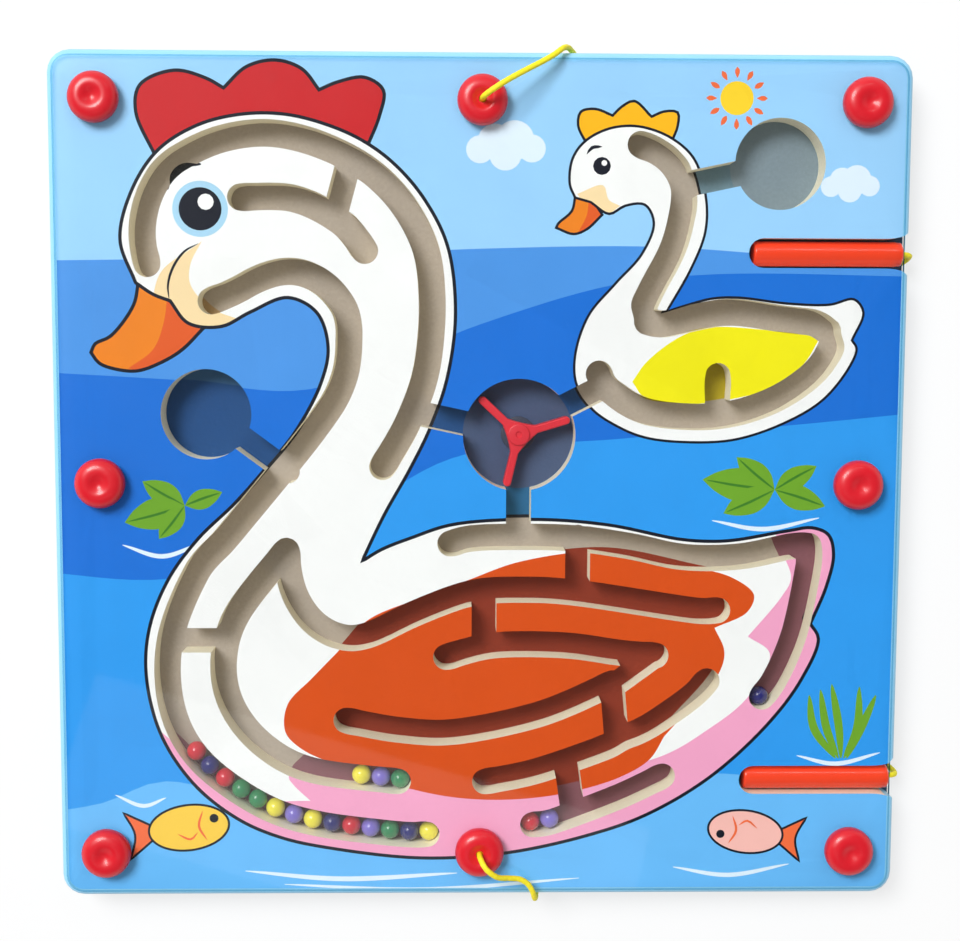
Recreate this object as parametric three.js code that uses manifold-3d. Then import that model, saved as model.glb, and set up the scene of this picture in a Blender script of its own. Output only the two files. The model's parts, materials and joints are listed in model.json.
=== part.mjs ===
// Magnetic maze board: a routed wooden board with coloured steel balls under a clear cover,
// a turning three-armed gate, and two magnet wands that lie in slots and hang on cords.
// Millimetres, +Z up. The board lies on its back, and the origin is under its middle.
import * as THREE from "three";
import { mergeVertices } from "three/addons/utils/BufferGeometryUtils.js";
import Module from "manifold-3d";

// Board
const BOARD_WIDTH = 300;
const BOARD_HEIGHT = 299;
const BOARD_CORNER_RADIUS = 8;
const FACE_EDGE_ROUND = 3;
const BACK_EDGE_CHAMFER = 1.2;
const FLOOR_THICKNESS = 3;

// Grooves of the maze
const GROOVE_WIDTH = 9.4;
const GATE_WIDTH = 8.8;
const GROOVE_DEPTH = 10.5;
const GOAL_CHAMBER_RADIUS = 15.8;
const GATE_CHAMBER_RADIUS = 19.8;

// Clear cover
const COVER_THICKNESS = 2;
const COVER_INSET = 2.4;
const COVER_CORNER_RADIUS = 6;
const COVER_EDGE_CHAMFER = 0.3;

// Two-part caps that clamp the cover to the board, one half on each side
const CAP_RADIUS = 8.7;
const CAP_HEIGHT = 5;
const CAP_EDGE_INSET = 17;
const CAP_DIMPLE_RADIUS = 3.4;
const CAP_DIMPLE_DEPTH = 1.2;
const CAP_LIP = 1.6;
const CAP_RIM_HEIGHT = 1.5;
const CAP_RIM_EDGE = 0.5;
const CAP_CROWN_WIDTH = 1;
const CAP_DIMPLE_EDGE = 0.24;
const SHANK_RADIUS = 3.6;
const SHANK_WALL = 1.3;
const SHANK_CLEARANCE = 0.35;
const PLUG_HEIGHT = 3.5;
const PLUG_EDGE = 0.7;
const SPIGOT_LENGTH = 5;

// Turning gate and its pivot
const ARM_WIDTH = 3.4;
const ARM_HEIGHT = 6;
const ARM_TIP_GAP = 0.9;
const ARM_COUNT = 3;
const ARM_START_DEGREES = 16.8;
const ARM_ROOT_RADIUS = 6.6;
const HUB_RADIUS = 4.4;
const HUB_BOSS = 0.8;
const PIVOT_RADIUS = 1.6;
const PIVOT_FLANGE_RADIUS = 6.3;
const PIVOT_FLANGE = 1;
const PIVOT_DEPTH = 2;

// Balls
const BALL_DIAMETER = 6.9;
const BALL_PITCH_GAP = 0.12;
const BALL_WALL_GAP = 0.45;
const BALL_FLOOR_GAP = 0.1;

// Wands and their slots
const WAND_DIAMETER = 9;
const WAND_LENGTH = 52.5;
const WAND_WALL = 1.2;
const WAND_TIP_ROUND = 0.7;
const WAND_REST_GAP = 2.2;
const WAND_SIDE_CLEARANCE = 0.65;
const WAND_FLOOR_GAP = 0.4;
const SLOT_LENGTH = 56.8;
const SLOT_MOUTH_LENGTH = 9;
const SLOT_MOUTH_FLARE = 2.6;
const UPPER_SLOT_Y = 81;
const LOWER_SLOT_Y = -106.9;
const MAGNET_LENGTH = 12;
const END_PLUG_FLANGE = 2;
const END_PLUG_SPIGOT = 5;

// Cords
const CORD_DIAMETER = 2;
const CORD_CLEARANCE = 0.35;
const KNOT_RADIUS = 1.9;

// Fits and facets
const FIT_GAP = 0.3;
const GROOVE_STEP = 5.5;
const END_STEPS = 7;
const ROUND_STEPS = 14;
const CHAMBER_STEPS = 40;
const CORNER_STEPS = 5;
const SWEEP_STEPS = 6;
const SLOT_END_STEPS = 10;
const CORD_SIDES = 8;
const CORD_STEPS_BETWEEN_POINTS = 1.5;
const BALL_STEPS = [9, 6];
const KNOT_STEPS = [8, 6];
const CUT_OVERRUN = 5;

// Heights that follow
const SLOT_DEPTH = WAND_DIAMETER + 2 * WAND_FLOOR_GAP + FIT_GAP;
const BOARD_THICKNESS = Math.max(GROOVE_DEPTH, SLOT_DEPTH) + FLOOR_THICKNESS;
const BOARD_BACK_Z = PLUG_HEIGHT;
const FACE_Z = BOARD_BACK_Z + BOARD_THICKNESS;
const GROOVE_FLOOR_Z = FACE_Z - GROOVE_DEPTH;
const SLOT_FLOOR_Z = FACE_Z - SLOT_DEPTH;
const COVER_TOP_Z = FACE_Z + COVER_THICKNESS;
const SHANK_BORE_RADIUS = SHANK_RADIUS - SHANK_WALL;
const CORD_HOLE_RADIUS = CORD_DIAMETER / 2 + CORD_CLEARANCE;

// Middles of the round chambers
const LEFT_CHAMBER = [-96.2, 24.1];
const RIGHT_CHAMBER = [103.6, 111.7];
const GATE_CHAMBER = [13.4, 17.1];

// Centrelines of the grooves, as the cutter ran, by the part of the swan that they follow
const GROOVES = {
  nape: [
    [-116, 76.3], [-117.5, 86], [-115.6, 97.5], [-109.8, 108], [-101, 114.3], [-89, 119.2],
    [-75, 121.1], [-61, 118.9], [-46.5, 113.1], [-35.3, 105.6], [-26, 95], [-19.4, 81.5],
    [-17.3, 66], [-17.8, 50], [-20.3, 35.5], [-26.4, 20], [-34.6, 5.8],
  ],
  brow: [[-83.4, 99.2], [-65, 98.8], [-49, 91], [-40.7, 81.2]],
  belly: [
    [-94, 63.5], [-86.5, 66.5], [-78, 71], [-70, 73.6], [-62, 73.2], [-54.5, 69.3], [-49, 63],
    [-46.3, 55], [-48, 37], [-58, 19.5], [-88.4, -18], [-100, -31.4], [-109.8, -56], [-109.5, -80],
    [-100, -99], [-80, -114.6], [-60, -122.2], [-30, -126.4], [-19, -126.7],
  ],
  breast: [[-68.5, -24], [-86, -46.5], [-91, -64], [-88, -80], [-77, -94], [-60, -103], [-29.3, -107.2]],
  shoulder: [
    [-68.5, -24], [-67.5, -33], [-65, -41], [-60, -48.5], [-53, -53.5], [-45, -55.2], [-37, -53],
    [-22, -45.8], [-3, -39], [15, -37.8], [35, -39], [75, -45], [84.3, -45.2],
  ],
  back: [
    [-10.6, -21.3], [0, -19.2], [30, -19.2], [52, -22], [72, -26], [92, -25.8], [110, -22.2], [116.5, -22],
  ],
  tail: [[116.5, -22], [116.5, -30], [112.2, -53], [106, -69], [101, -76.5]],
  wing_middle: [[-12, -62], [5, -57.8], [30, -57.8], [50, -60.5], [62.5, -61.5]],
  wing_lower: [[-47.5, -85], [-28, -88.5], [-8, -89], [22, -82.5], [47.3, -71.5]],
  under_wing: [[2, -107.3], [20, -103.6], [44, -95.2], [52, -91], [60, -87.5], [75, -77], [81, -70.8]],
  keel: [[65.5, -105.5], [50, -113], [27, -121.8], [19.3, -123.2]],
  small_nape: [
    [55, 118], [61, 115.5], [66, 111.5], [69.3, 106], [70.3, 99], [67, 83.5], [59.5, 68.5], [56.8, 62],
    [58, 57],
  ],
  small_back: [[58, 57], [64, 56.3], [80.5, 59.7], [90, 60.3], [108, 57.8], [116, 57], [121.5, 54]],
  small_belly: [
    [121.5, 54], [123, 49], [117, 39.5], [104, 30.3], [88, 24.8], [72, 23.8], [56, 26.3], [44, 34],
    [41.3, 38.7],
  ],
};

// Straight gates from one groove or chamber to the next
const GATES = [
  [[-46.3, 110.5], [-50.6, 94.5]],
  [[-110, -56], [-90, -56]],
  [[34.4, -19], [34.4, -39]],
  [[1.3, -39], [1.3, -58]],
  [[62.3, -61.6], [47.3, -72.7]],
  [[47.3, -73], [49, -92]],
  [[31, -100], [33.5, -118]],
  [[-92, 22], [-68, 4.2]],
  [[0, 20], [-21, 24.5]],
  [[22, 23.5], [41.5, 33.5]],
  [[13.3, 6], [13.3, -18]],
  [[83.1, 26], [83.1, 38.3]],
  [[70, 104.3], [93, 109.2]],
];

// Balls as they lie, named from the closed end of their groove
const BALL_ROWS = [
  {
    groove: "belly",
    colours: [
      "yellow", "blue", "green", "purple", "red", "blue", "yellow", "purple", "yellow", "green", "green",
      "red", "blue", "red",
    ],
  },
  { groove: "breast", colours: ["green", "purple", "yellow"] },
  { groove: "keel", colours: ["red", "purple"] },
  { groove: "tail", colours: ["blue"] },
];

// Cord routes, from the knot in the cap, over the board's edge and loosely under it to its wand
const UPPER_CORD = [
  [0, 132.5, 18.5], [0, 132.5, 21.5], [0, 132.5, 24.4], [0.5, 132.8, 26.7], [1.9, 133.7, 28.4], [3.9, 135, 29],
  [9, 138.3, 28.2], [14.5, 141.6, 25.9], [20, 144.8, 23.5], [24.4, 147.6, 21.6], [27.6, 150.3, 18.6],
  [29.6, 151.4, 14],
  [31, 151.5, 9], [32.4, 151, 4.8], [34.2, 148.4, 1.7], [36.5, 143.5, 1.1], [42, 131, 1.1], [51, 119, 1.1],
  [64, 112, 1.1], [78, 113, 1.1], [90, 120, 1.1], [103, 121, 1.1], [111, 112, 1.1], [109, 99, 1.1],
  [100, 87, 1.1], [100, 73, 1.1], [112, 64, 1.1], [127, 64, 1.1], [139, 70, 1.1], [147.5, 76.2, 1.2],
];
const UPPER_TAIL = [
  [139.4, 81, 11.8], [143, 81, 11.8], [148.2, 81, 11.8], [150.4, 80.9, 11.2], [151.9, 80.7, 9.7],
  [152.5, 80.4, 7.5], [152.5, 79.8, 5.5], [151.9, 79, 3.5], [150.4, 78, 1.9], [147.9, 76.5, 1.2],
];
const LOWER_CORD = [
  [0, -132.5, 18.5], [0, -132.5, 21.5], [0, -132.5, 24.4], [0.4, -133, 26.7], [1.3, -134.4, 28.4],
  [2.8, -136.2, 29], [6.2, -138.9, 27.9], [10.5, -140.3, 25], [14.6, -141.4, 23.2], [17.6, -143.8, 22.2],
  [19.2, -147, 21],
  [20, -150.2, 18.2], [20.6, -151.4, 13.6], [21, -151.5, 9], [21.8, -151, 4.8], [23.6, -148.4, 1.7],
  [26.5, -143.5, 1.1], [33, -131, 1.1], [43, -120, 1.1], [56, -115, 1.1], [69, -119, 1.1], [80, -127, 1.1],
  [93, -130, 1.1], [104, -123, 1.1], [106, -110, 1.1], [99, -98, 1.1], [100, -85, 1.1], [112, -79, 1.1],
  [126, -83, 1.1], [137, -94, 1.1], [145.8, -103.6, 1.2],
];
const LOWER_TAIL = [
  [139.4, -106.9, 11.8], [143, -106.9, 11.8], [148.2, -106.9, 11.8], [150.4, -107, 11.2], [151.9, -107.1, 9.7],
  [152.5, -107.1, 7.5], [152.4, -106.8, 5.5], [151.7, -106.3, 3.5], [149.8, -105.5, 1.9], [146.1, -103.9, 1.2],
];

const COLOURS = {
  board: 0x7fbdf2,
  clear: 0xe8f2f7,
  cap: 0xd81830,
  gate: 0xd23f50,
  pivot: 0x6d6a66,
  wand: 0xff5a30,
  magnet: 0x5a5c60,
  cord: 0xf7e82a,
  red: 0xc8323f,
  yellow: 0xe8dc4a,
  green: 0x3f8f62,
  blue: 0x2b3074,
  purple: 0x8277bd,
};

const wasm = await Module();
wasm.setup();

// A closed geometry as a solid that can be added to and cut
function solidOf(geometry) {
  const bare = geometry.clone();
  bare.deleteAttribute("normal");
  bare.deleteAttribute("uv");
  const merged = mergeVertices(bare, 1e-4);
  const solid = new wasm.Mesh({
    numProp: 3,
    vertProperties: merged.attributes.position.array,
    triVerts: new Uint32Array(merged.index.array),
  });
  return new wasm.Manifold(solid);
}

function geometryOf(solid) {
  const mesh = solid.getMesh();
  const geometry = new THREE.BufferGeometry();
  geometry.setAttribute("position", new THREE.BufferAttribute(mesh.vertProperties, 3));
  geometry.setIndex(new THREE.BufferAttribute(mesh.triVerts, 1));
  const flat = geometry.toNonIndexed();
  flat.computeVertexNormals();
  return flat;
}

function joined(solids) {
  return solids.reduce((whole, next) => whole.add(next));
}

// Points on an arc about a middle, from one angle to another
function arcPoints(x, y, radius, fromAngle, toAngle, steps) {
  const points = [];
  for (let i = 0; i <= steps; i += 1) {
    const angle = fromAngle + ((toAngle - fromAngle) * i) / steps;
    points.push(new THREE.Vector2(x + radius * Math.cos(angle), y + radius * Math.sin(angle)));
  }
  return points;
}

// Outline of a rectangle with round corners, counter-clockwise
function roundedOutline(width, height, radius) {
  const x = width / 2 - radius;
  const y = height / 2 - radius;
  const quarter = Math.PI / 2;
  const corners = [[x, y], [-x, y], [-x, -y], [x, -y]];
  return corners.flatMap(([cx, cy], i) => {
    return arcPoints(cx, cy, radius, i * quarter, (i + 1) * quarter, CORNER_STEPS);
  });
}

// A flat plate with round corners, stacked from outlines that step in at its edges
function plateGeometry(width, height, cornerRadius, levels) {
  const rings = levels.map(({ inset, z }) => {
    const radius = Math.max(cornerRadius - inset, FIT_GAP);
    const outline = roundedOutline(width - 2 * inset, height - 2 * inset, radius);
    return outline.map((p) => [p.x, p.y, z]);
  });
  const count = rings[0].length;
  const indices = [];
  for (let level = 0; level + 1 < rings.length; level += 1) {
    for (let i = 0; i < count; i += 1) {
      const a = level * count + i;
      const b = level * count + ((i + 1) % count);
      indices.push(a, b, b + count, a, b + count, a + count);
    }
  }
  const contour = rings[0].map(([x, y]) => new THREE.Vector2(x, y));
  const top = (rings.length - 1) * count;
  for (const [a, b, c] of THREE.ShapeUtils.triangulateShape(contour, [])) {
    indices.push(a, c, b);
    indices.push(top + a, top + b, top + c);
  }
  const geometry = new THREE.BufferGeometry();
  geometry.setAttribute("position", new THREE.Float32BufferAttribute(rings.flat(2), 3));
  geometry.setIndex(indices);
  return geometry;
}

function prism(outline, fromZ, toZ) {
  const geometry = new THREE.ExtrudeGeometry(new THREE.Shape(outline), {
    depth: toZ - fromZ,
    bevelEnabled: false,
  });
  return geometry.translate(0, 0, fromZ);
}

function disc(x, y, radius, fromZ, toZ, steps) {
  const outline = arcPoints(x, y, radius, 0, 2 * Math.PI, steps);
  outline.pop();
  return prism(outline, fromZ, toZ);
}

// Turns a profile of [radius, height] pairs about Z
function turned(profile, steps) {
  const points = profile.map(([r, z]) => new THREE.Vector2(r, z));
  return new THREE.LatheGeometry(points, steps).rotateX(Math.PI / 2);
}

function centrelineOf(points) {
  return new THREE.SplineCurve(points.map(([x, y]) => new THREE.Vector2(x, y)));
}

// Outline that a round cutter leaves along a centreline
function grooveOutline(curve, width, steps) {
  const half = width / 2;
  const left = [];
  const right = [];
  for (let i = 0; i <= steps; i += 1) {
    const p = curve.getPointAt(i / steps);
    const t = curve.getTangentAt(i / steps);
    left.push(new THREE.Vector2(p.x - t.y * half, p.y + t.x * half));
    right.push(new THREE.Vector2(p.x + t.y * half, p.y - t.x * half));
  }
  const start = curve.getPointAt(0);
  const end = curve.getPointAt(1);
  const startTangent = curve.getTangentAt(0);
  const endTangent = curve.getTangentAt(1);
  const startAngle = Math.atan2(startTangent.y, startTangent.x);
  const endAngle = Math.atan2(endTangent.y, endTangent.x);
  const quarter = Math.PI / 2;
  const endArc = arcPoints(end.x, end.y, half, endAngle - quarter, endAngle + quarter, END_STEPS);
  const startArc = arcPoints(start.x, start.y, half, startAngle + quarter, startAngle + 3 * quarter, END_STEPS);
  return [...right, ...endArc.slice(1, -1), ...left.reverse(), ...startArc.slice(1, -1)];
}

function grooveCutter(points) {
  const curve = centrelineOf(points);
  const steps = Math.ceil(curve.getLength() / GROOVE_STEP);
  return solidOf(prism(grooveOutline(curve, GROOVE_WIDTH, steps), GROOVE_FLOOR_Z, FACE_Z + CUT_OVERRUN));
}

function gateCutter([from, to]) {
  const curve = new THREE.LineCurve(new THREE.Vector2(...from), new THREE.Vector2(...to));
  return solidOf(prism(grooveOutline(curve, GATE_WIDTH, 1), GROOVE_FLOOR_Z, FACE_Z + CUT_OVERRUN));
}

function chamberCutter([x, y], radius) {
  return solidOf(disc(x, y, radius, GROOVE_FLOOR_Z, FACE_Z + CUT_OVERRUN, CHAMBER_STEPS));
}

// A wand slot, closed and round on the left, with a flared mouth in the right edge
function slotCutter(y) {
  const half = WAND_DIAMETER / 2 + WAND_SIDE_CLEARANCE;
  const edge = BOARD_WIDTH / 2;
  const left = edge - SLOT_LENGTH + half;
  const mouth = edge - SLOT_MOUTH_LENGTH;
  const beyond = edge + CUT_OVERRUN;
  const shape = new THREE.Shape(arcPoints(left, y, half, Math.PI / 2, 1.5 * Math.PI, SLOT_END_STEPS));
  shape.lineTo(mouth, y - half);
  shape.quadraticCurveTo(edge - SLOT_MOUTH_FLARE, y - half, edge, y - half - SLOT_MOUTH_FLARE);
  shape.lineTo(beyond, y - half - SLOT_MOUTH_FLARE);
  shape.lineTo(beyond, y + half + SLOT_MOUTH_FLARE);
  shape.lineTo(edge, y + half + SLOT_MOUTH_FLARE);
  shape.quadraticCurveTo(edge - SLOT_MOUTH_FLARE, y + half, mouth, y + half);
  return solidOf(prism(shape.getPoints(SWEEP_STEPS), SLOT_FLOOR_Z, FACE_Z + CUT_OVERRUN));
}

// Where the caps stand: every corner and the middle of every side
const CAP_X = BOARD_WIDTH / 2 - CAP_EDGE_INSET;
const CAP_Y = BOARD_HEIGHT / 2 - CAP_EDGE_INSET;
const CAP_PLACES = {
  top_left: [-CAP_X, CAP_Y],
  top_middle: [0, CAP_Y],
  top_right: [CAP_X, CAP_Y],
  middle_left: [-CAP_X, 0],
  middle_right: [CAP_X, 0],
  bottom_left: [-CAP_X, -CAP_Y],
  bottom_middle: [0, -CAP_Y],
  bottom_right: [CAP_X, -CAP_Y],
};

function shankHoles(fromZ, toZ) {
  const radius = SHANK_RADIUS + SHANK_CLEARANCE;
  return Object.values(CAP_PLACES).map(([x, y]) => solidOf(disc(x, y, radius, fromZ, toZ, ROUND_STEPS)));
}

function boardSolid() {
  const levels = [
    { inset: BACK_EDGE_CHAMFER, z: BOARD_BACK_Z },
    { inset: 0, z: BOARD_BACK_Z + BACK_EDGE_CHAMFER },
  ];
  for (const angle of [0, 30, 60, 90]) {
    const turn = THREE.MathUtils.degToRad(angle);
    levels.push({
      inset: FACE_EDGE_ROUND * (1 - Math.cos(turn)),
      z: FACE_Z - FACE_EDGE_ROUND * (1 - Math.sin(turn)),
    });
  }
  const plate = solidOf(plateGeometry(BOARD_WIDTH, BOARD_HEIGHT, BOARD_CORNER_RADIUS, levels));
  const pivotHole = disc(
    ...GATE_CHAMBER,
    PIVOT_RADIUS + FIT_GAP,
    GROOVE_FLOOR_Z - PIVOT_DEPTH - FIT_GAP,
    GROOVE_FLOOR_Z + CUT_OVERRUN,
    ROUND_STEPS,
  );
  const cutters = [
    ...Object.values(GROOVES).map(grooveCutter),
    ...GATES.map(gateCutter),
    chamberCutter(LEFT_CHAMBER, GOAL_CHAMBER_RADIUS),
    chamberCutter(RIGHT_CHAMBER, GOAL_CHAMBER_RADIUS),
    chamberCutter(GATE_CHAMBER, GATE_CHAMBER_RADIUS),
    slotCutter(UPPER_SLOT_Y),
    slotCutter(LOWER_SLOT_Y),
    solidOf(pivotHole),
    ...shankHoles(BOARD_BACK_Z - CUT_OVERRUN, FACE_Z + CUT_OVERRUN),
  ];
  return plate.subtract(joined(cutters));
}

function coverSolid() {
  const levels = [
    { inset: COVER_EDGE_CHAMFER, z: FACE_Z },
    { inset: 0, z: FACE_Z + COVER_EDGE_CHAMFER },
    { inset: 0, z: COVER_TOP_Z - COVER_EDGE_CHAMFER },
    { inset: COVER_EDGE_CHAMFER, z: COVER_TOP_Z },
  ];
  const width = BOARD_WIDTH - 2 * COVER_INSET;
  const height = BOARD_HEIGHT - 2 * COVER_INSET;
  const plate = solidOf(plateGeometry(width, height, COVER_CORNER_RADIUS, levels));
  return plate.subtract(joined(shankHoles(FACE_Z - CUT_OVERRUN, COVER_TOP_Z + CUT_OVERRUN)));
}

// Front half of a cap: a dimpled dome on a hollow shank that reaches through cover and board
function capGeometry() {
  const dimpleZ = CAP_HEIGHT - CAP_DIMPLE_DEPTH;
  const lipZ = dimpleZ - CAP_LIP;
  const shankEnd = BOARD_BACK_Z + FIT_GAP - COVER_TOP_Z;
  const profile = [[CORD_HOLE_RADIUS, lipZ], [SHANK_BORE_RADIUS, lipZ], [SHANK_BORE_RADIUS, shankEnd]];
  profile.push([SHANK_RADIUS, shankEnd], [SHANK_RADIUS, 0], [CAP_RADIUS - CAP_RIM_EDGE, 0]);
  const crown = CAP_DIMPLE_RADIUS + CAP_CROWN_WIDTH;
  for (const share of [0, 0.35, 0.7, 1]) {
    const turn = (share * Math.PI) / 2;
    profile.push([
      crown + (CAP_RADIUS - crown) * Math.cos(turn),
      CAP_RIM_HEIGHT + (CAP_HEIGHT - CAP_RIM_HEIGHT) * Math.sin(turn),
    ]);
  }
  profile.push([CAP_DIMPLE_RADIUS, CAP_HEIGHT - CAP_DIMPLE_EDGE]);
  profile.push([CORD_HOLE_RADIUS, dimpleZ], profile[0]);
  return turned(profile, ROUND_STEPS);
}

// Rear half of a cap: a foot with a spigot that closes the hollow shank
function plugGeometry() {
  const spigot = SHANK_BORE_RADIUS - FIT_GAP;
  const profile = [
    [0, 0],
    [CAP_RADIUS - PLUG_EDGE, 0],
    [CAP_RADIUS, PLUG_EDGE],
    [CAP_RADIUS, PLUG_HEIGHT],
    [spigot, PLUG_HEIGHT],
    [spigot, PLUG_HEIGHT + SPIGOT_LENGTH],
    [0, PLUG_HEIGHT + SPIGOT_LENGTH],
  ];
  return turned(profile, ROUND_STEPS);
}

// The turning gate: arms with round tips that sweep out of a round hub, on a blind bore
const GATE_BASE = PIVOT_FLANGE + FIT_GAP;

function turningGateSolid() {
  const tip = GATE_CHAMBER_RADIUS - ARM_TIP_GAP;
  const half = ARM_WIDTH / 2;
  const between = (2 * Math.PI) / ARM_COUNT;
  const outline = [];
  for (let arm = 0; arm < ARM_COUNT; arm += 1) {
    const angle = THREE.MathUtils.degToRad(ARM_START_DEGREES) + arm * between;
    const along = new THREE.Vector2(Math.cos(angle), Math.sin(angle));
    const across = new THREE.Vector2(-along.y, along.x);
    const at = (distance, side) => along.clone().multiplyScalar(distance).addScaledVector(across, side);
    const tipCentre = at(tip - half, 0);
    const quarter = Math.PI / 2;
    outline.push(at(ARM_ROOT_RADIUS, -half));
    outline.push(...arcPoints(tipCentre.x, tipCentre.y, half, angle - quarter, angle + quarter, END_STEPS));
    const nextAngle = angle + between;
    const nextAlong = new THREE.Vector2(Math.cos(nextAngle), Math.sin(nextAngle));
    const nextAcross = new THREE.Vector2(-nextAlong.y, nextAlong.x);
    const nextRoot = nextAlong.multiplyScalar(ARM_ROOT_RADIUS).addScaledVector(nextAcross, -half);
    const middle = angle + between / 2;
    const dip = new THREE.Vector2(Math.cos(middle), Math.sin(middle)).multiplyScalar(HUB_RADIUS);
    const sweep = new THREE.QuadraticBezierCurve(at(ARM_ROOT_RADIUS, half), dip, nextRoot);
    outline.push(...sweep.getPoints(SWEEP_STEPS).slice(0, -1));
  }
  const arms = solidOf(prism(outline, GATE_BASE, GATE_BASE + ARM_HEIGHT));
  const hub = solidOf(disc(0, 0, HUB_RADIUS, GATE_BASE, GATE_BASE + ARM_HEIGHT + HUB_BOSS, ROUND_STEPS));
  const boreRadius = PIVOT_RADIUS + FIT_GAP;
  const bore = solidOf(disc(0, 0, boreRadius, GATE_BASE - CUT_OVERRUN, GATE_BASE + ARM_HEIGHT, ROUND_STEPS));
  return arms.add(hub).subtract(bore);
}

// A post with a flange under the turning gate, pressed into the floor of its chamber
function pivotGeometry() {
  const profile = [
    [0, -PIVOT_DEPTH],
    [PIVOT_RADIUS, -PIVOT_DEPTH],
    [PIVOT_RADIUS, 0],
    [PIVOT_FLANGE_RADIUS, 0],
    [PIVOT_FLANGE_RADIUS, PIVOT_FLANGE],
    [PIVOT_RADIUS, PIVOT_FLANGE],
    [PIVOT_RADIUS, GATE_BASE + ARM_HEIGHT - FIT_GAP],
    [0, GATE_BASE + ARM_HEIGHT - FIT_GAP],
  ];
  return turned(profile, ROUND_STEPS);
}

// Wand pieces, turned about their length with the magnet end at zero, then laid along X
const WAND_RADIUS = WAND_DIAMETER / 2;
const WAND_BORE_RADIUS = WAND_RADIUS - WAND_WALL;
const WAND_TUBE_LENGTH = WAND_LENGTH - END_PLUG_FLANGE;

function laidAlongX(geometry) {
  return geometry.rotateY(Math.PI / 2);
}

function wandTubeGeometry() {
  const profile = [
    [0, 0],
    [WAND_RADIUS - WAND_TIP_ROUND, 0],
    [WAND_RADIUS, WAND_TIP_ROUND],
    [WAND_RADIUS, WAND_TUBE_LENGTH],
    [WAND_BORE_RADIUS, WAND_TUBE_LENGTH],
    [WAND_BORE_RADIUS, WAND_WALL],
    [0, WAND_WALL],
  ];
  return laidAlongX(turned(profile, ROUND_STEPS));
}

function magnetGeometry() {
  const from = WAND_WALL + FIT_GAP;
  const radius = WAND_BORE_RADIUS - FIT_GAP;
  const profile = [[0, from], [radius, from], [radius, from + MAGNET_LENGTH], [0, from + MAGNET_LENGTH]];
  return laidAlongX(turned(profile, ROUND_STEPS));
}

function endPlugGeometry() {
  const from = WAND_TUBE_LENGTH - END_PLUG_SPIGOT;
  const spigot = WAND_BORE_RADIUS - FIT_GAP;
  const profile = [
    [CORD_HOLE_RADIUS, from],
    [spigot, from],
    [spigot, WAND_TUBE_LENGTH],
    [WAND_RADIUS, WAND_TUBE_LENGTH],
    [WAND_RADIUS, WAND_LENGTH - WAND_TIP_ROUND],
    [WAND_RADIUS - WAND_TIP_ROUND, WAND_LENGTH],
    [CORD_HOLE_RADIUS, WAND_LENGTH],
    [CORD_HOLE_RADIUS, from],
  ];
  return laidAlongX(turned(profile, ROUND_STEPS));
}

// A stretch of cord, with rings where its points are set closer at the bends
function cordSolid(points) {
  const curve = new THREE.CatmullRomCurve3(points.map((p) => new THREE.Vector3(...p)), false, "centripetal");
  curve.getUtoTmapping = (u) => u;
  const outline = arcPoints(0, 0, CORD_DIAMETER / 2, 0, 2 * Math.PI, CORD_SIDES);
  outline.pop();
  const geometry = new THREE.ExtrudeGeometry(new THREE.Shape(outline), {
    steps: Math.round((points.length - 1) * CORD_STEPS_BETWEEN_POINTS),
    extrudePath: curve,
    bevelEnabled: false,
  });
  return solidOf(geometry);
}

function knottedCord(points) {
  const knot = new THREE.SphereGeometry(KNOT_RADIUS, ...KNOT_STEPS).translate(...points[0]);
  return cordSolid(points).add(solidOf(knot));
}

// The object
const whole = new THREE.Group();
whole.name = "magnetic_maze_board";

function addMesh(name, geometry, colour, x = 0, y = 0, z = 0) {
  const mesh = new THREE.Mesh(geometry, new THREE.MeshStandardMaterial({ color: COLOURS[colour] }));
  mesh.name = name;
  mesh.position.set(x, y, z);
  whole.add(mesh);
}

addMesh("maze_board", geometryOf(boardSolid()), "board");
addMesh("clear_cover", geometryOf(coverSolid()), "clear");

for (const [place, [x, y]] of Object.entries(CAP_PLACES)) {
  addMesh(`front_cap_${place}`, capGeometry(), "cap", x, y, COVER_TOP_Z);
  addMesh(`rear_plug_${place}`, plugGeometry(), "cap", x, y, 0);
}

addMesh("turning_gate", geometryOf(turningGateSolid()), "gate", ...GATE_CHAMBER, GROOVE_FLOOR_Z + FIT_GAP);
addMesh("gate_pivot", pivotGeometry(), "pivot", ...GATE_CHAMBER, GROOVE_FLOOR_Z + FIT_GAP);

// Balls lie one behind another against the lower wall of their groove
const sideways = (GROOVE_WIDTH - BALL_DIAMETER) / 2 - BALL_WALL_GAP;
const counts = {};
for (const { groove, colours } of BALL_ROWS) {
  const curve = centrelineOf(GROOVES[groove]);
  const length = curve.getLength();
  colours.forEach((colour, i) => {
    const distance = length + sideways - i * (BALL_DIAMETER + BALL_PITCH_GAP);
    const share = Math.min(distance / length, 1);
    const t = curve.getTangentAt(share);
    const p = curve.getPointAt(share).addScaledVector(t, Math.max(distance - length, 0));
    const side = t.x > 0 ? 1 : -1;
    counts[colour] = (counts[colour] ?? 0) + 1;
    addMesh(
      `ball_${colour}_${counts[colour]}`,
      new THREE.SphereGeometry(BALL_DIAMETER / 2, ...BALL_STEPS),
      colour,
      p.x + side * t.y * sideways,
      p.y - side * t.x * sideways,
      GROOVE_FLOOR_Z + BALL_DIAMETER / 2 + BALL_FLOOR_GAP,
    );
  });
}

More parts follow.
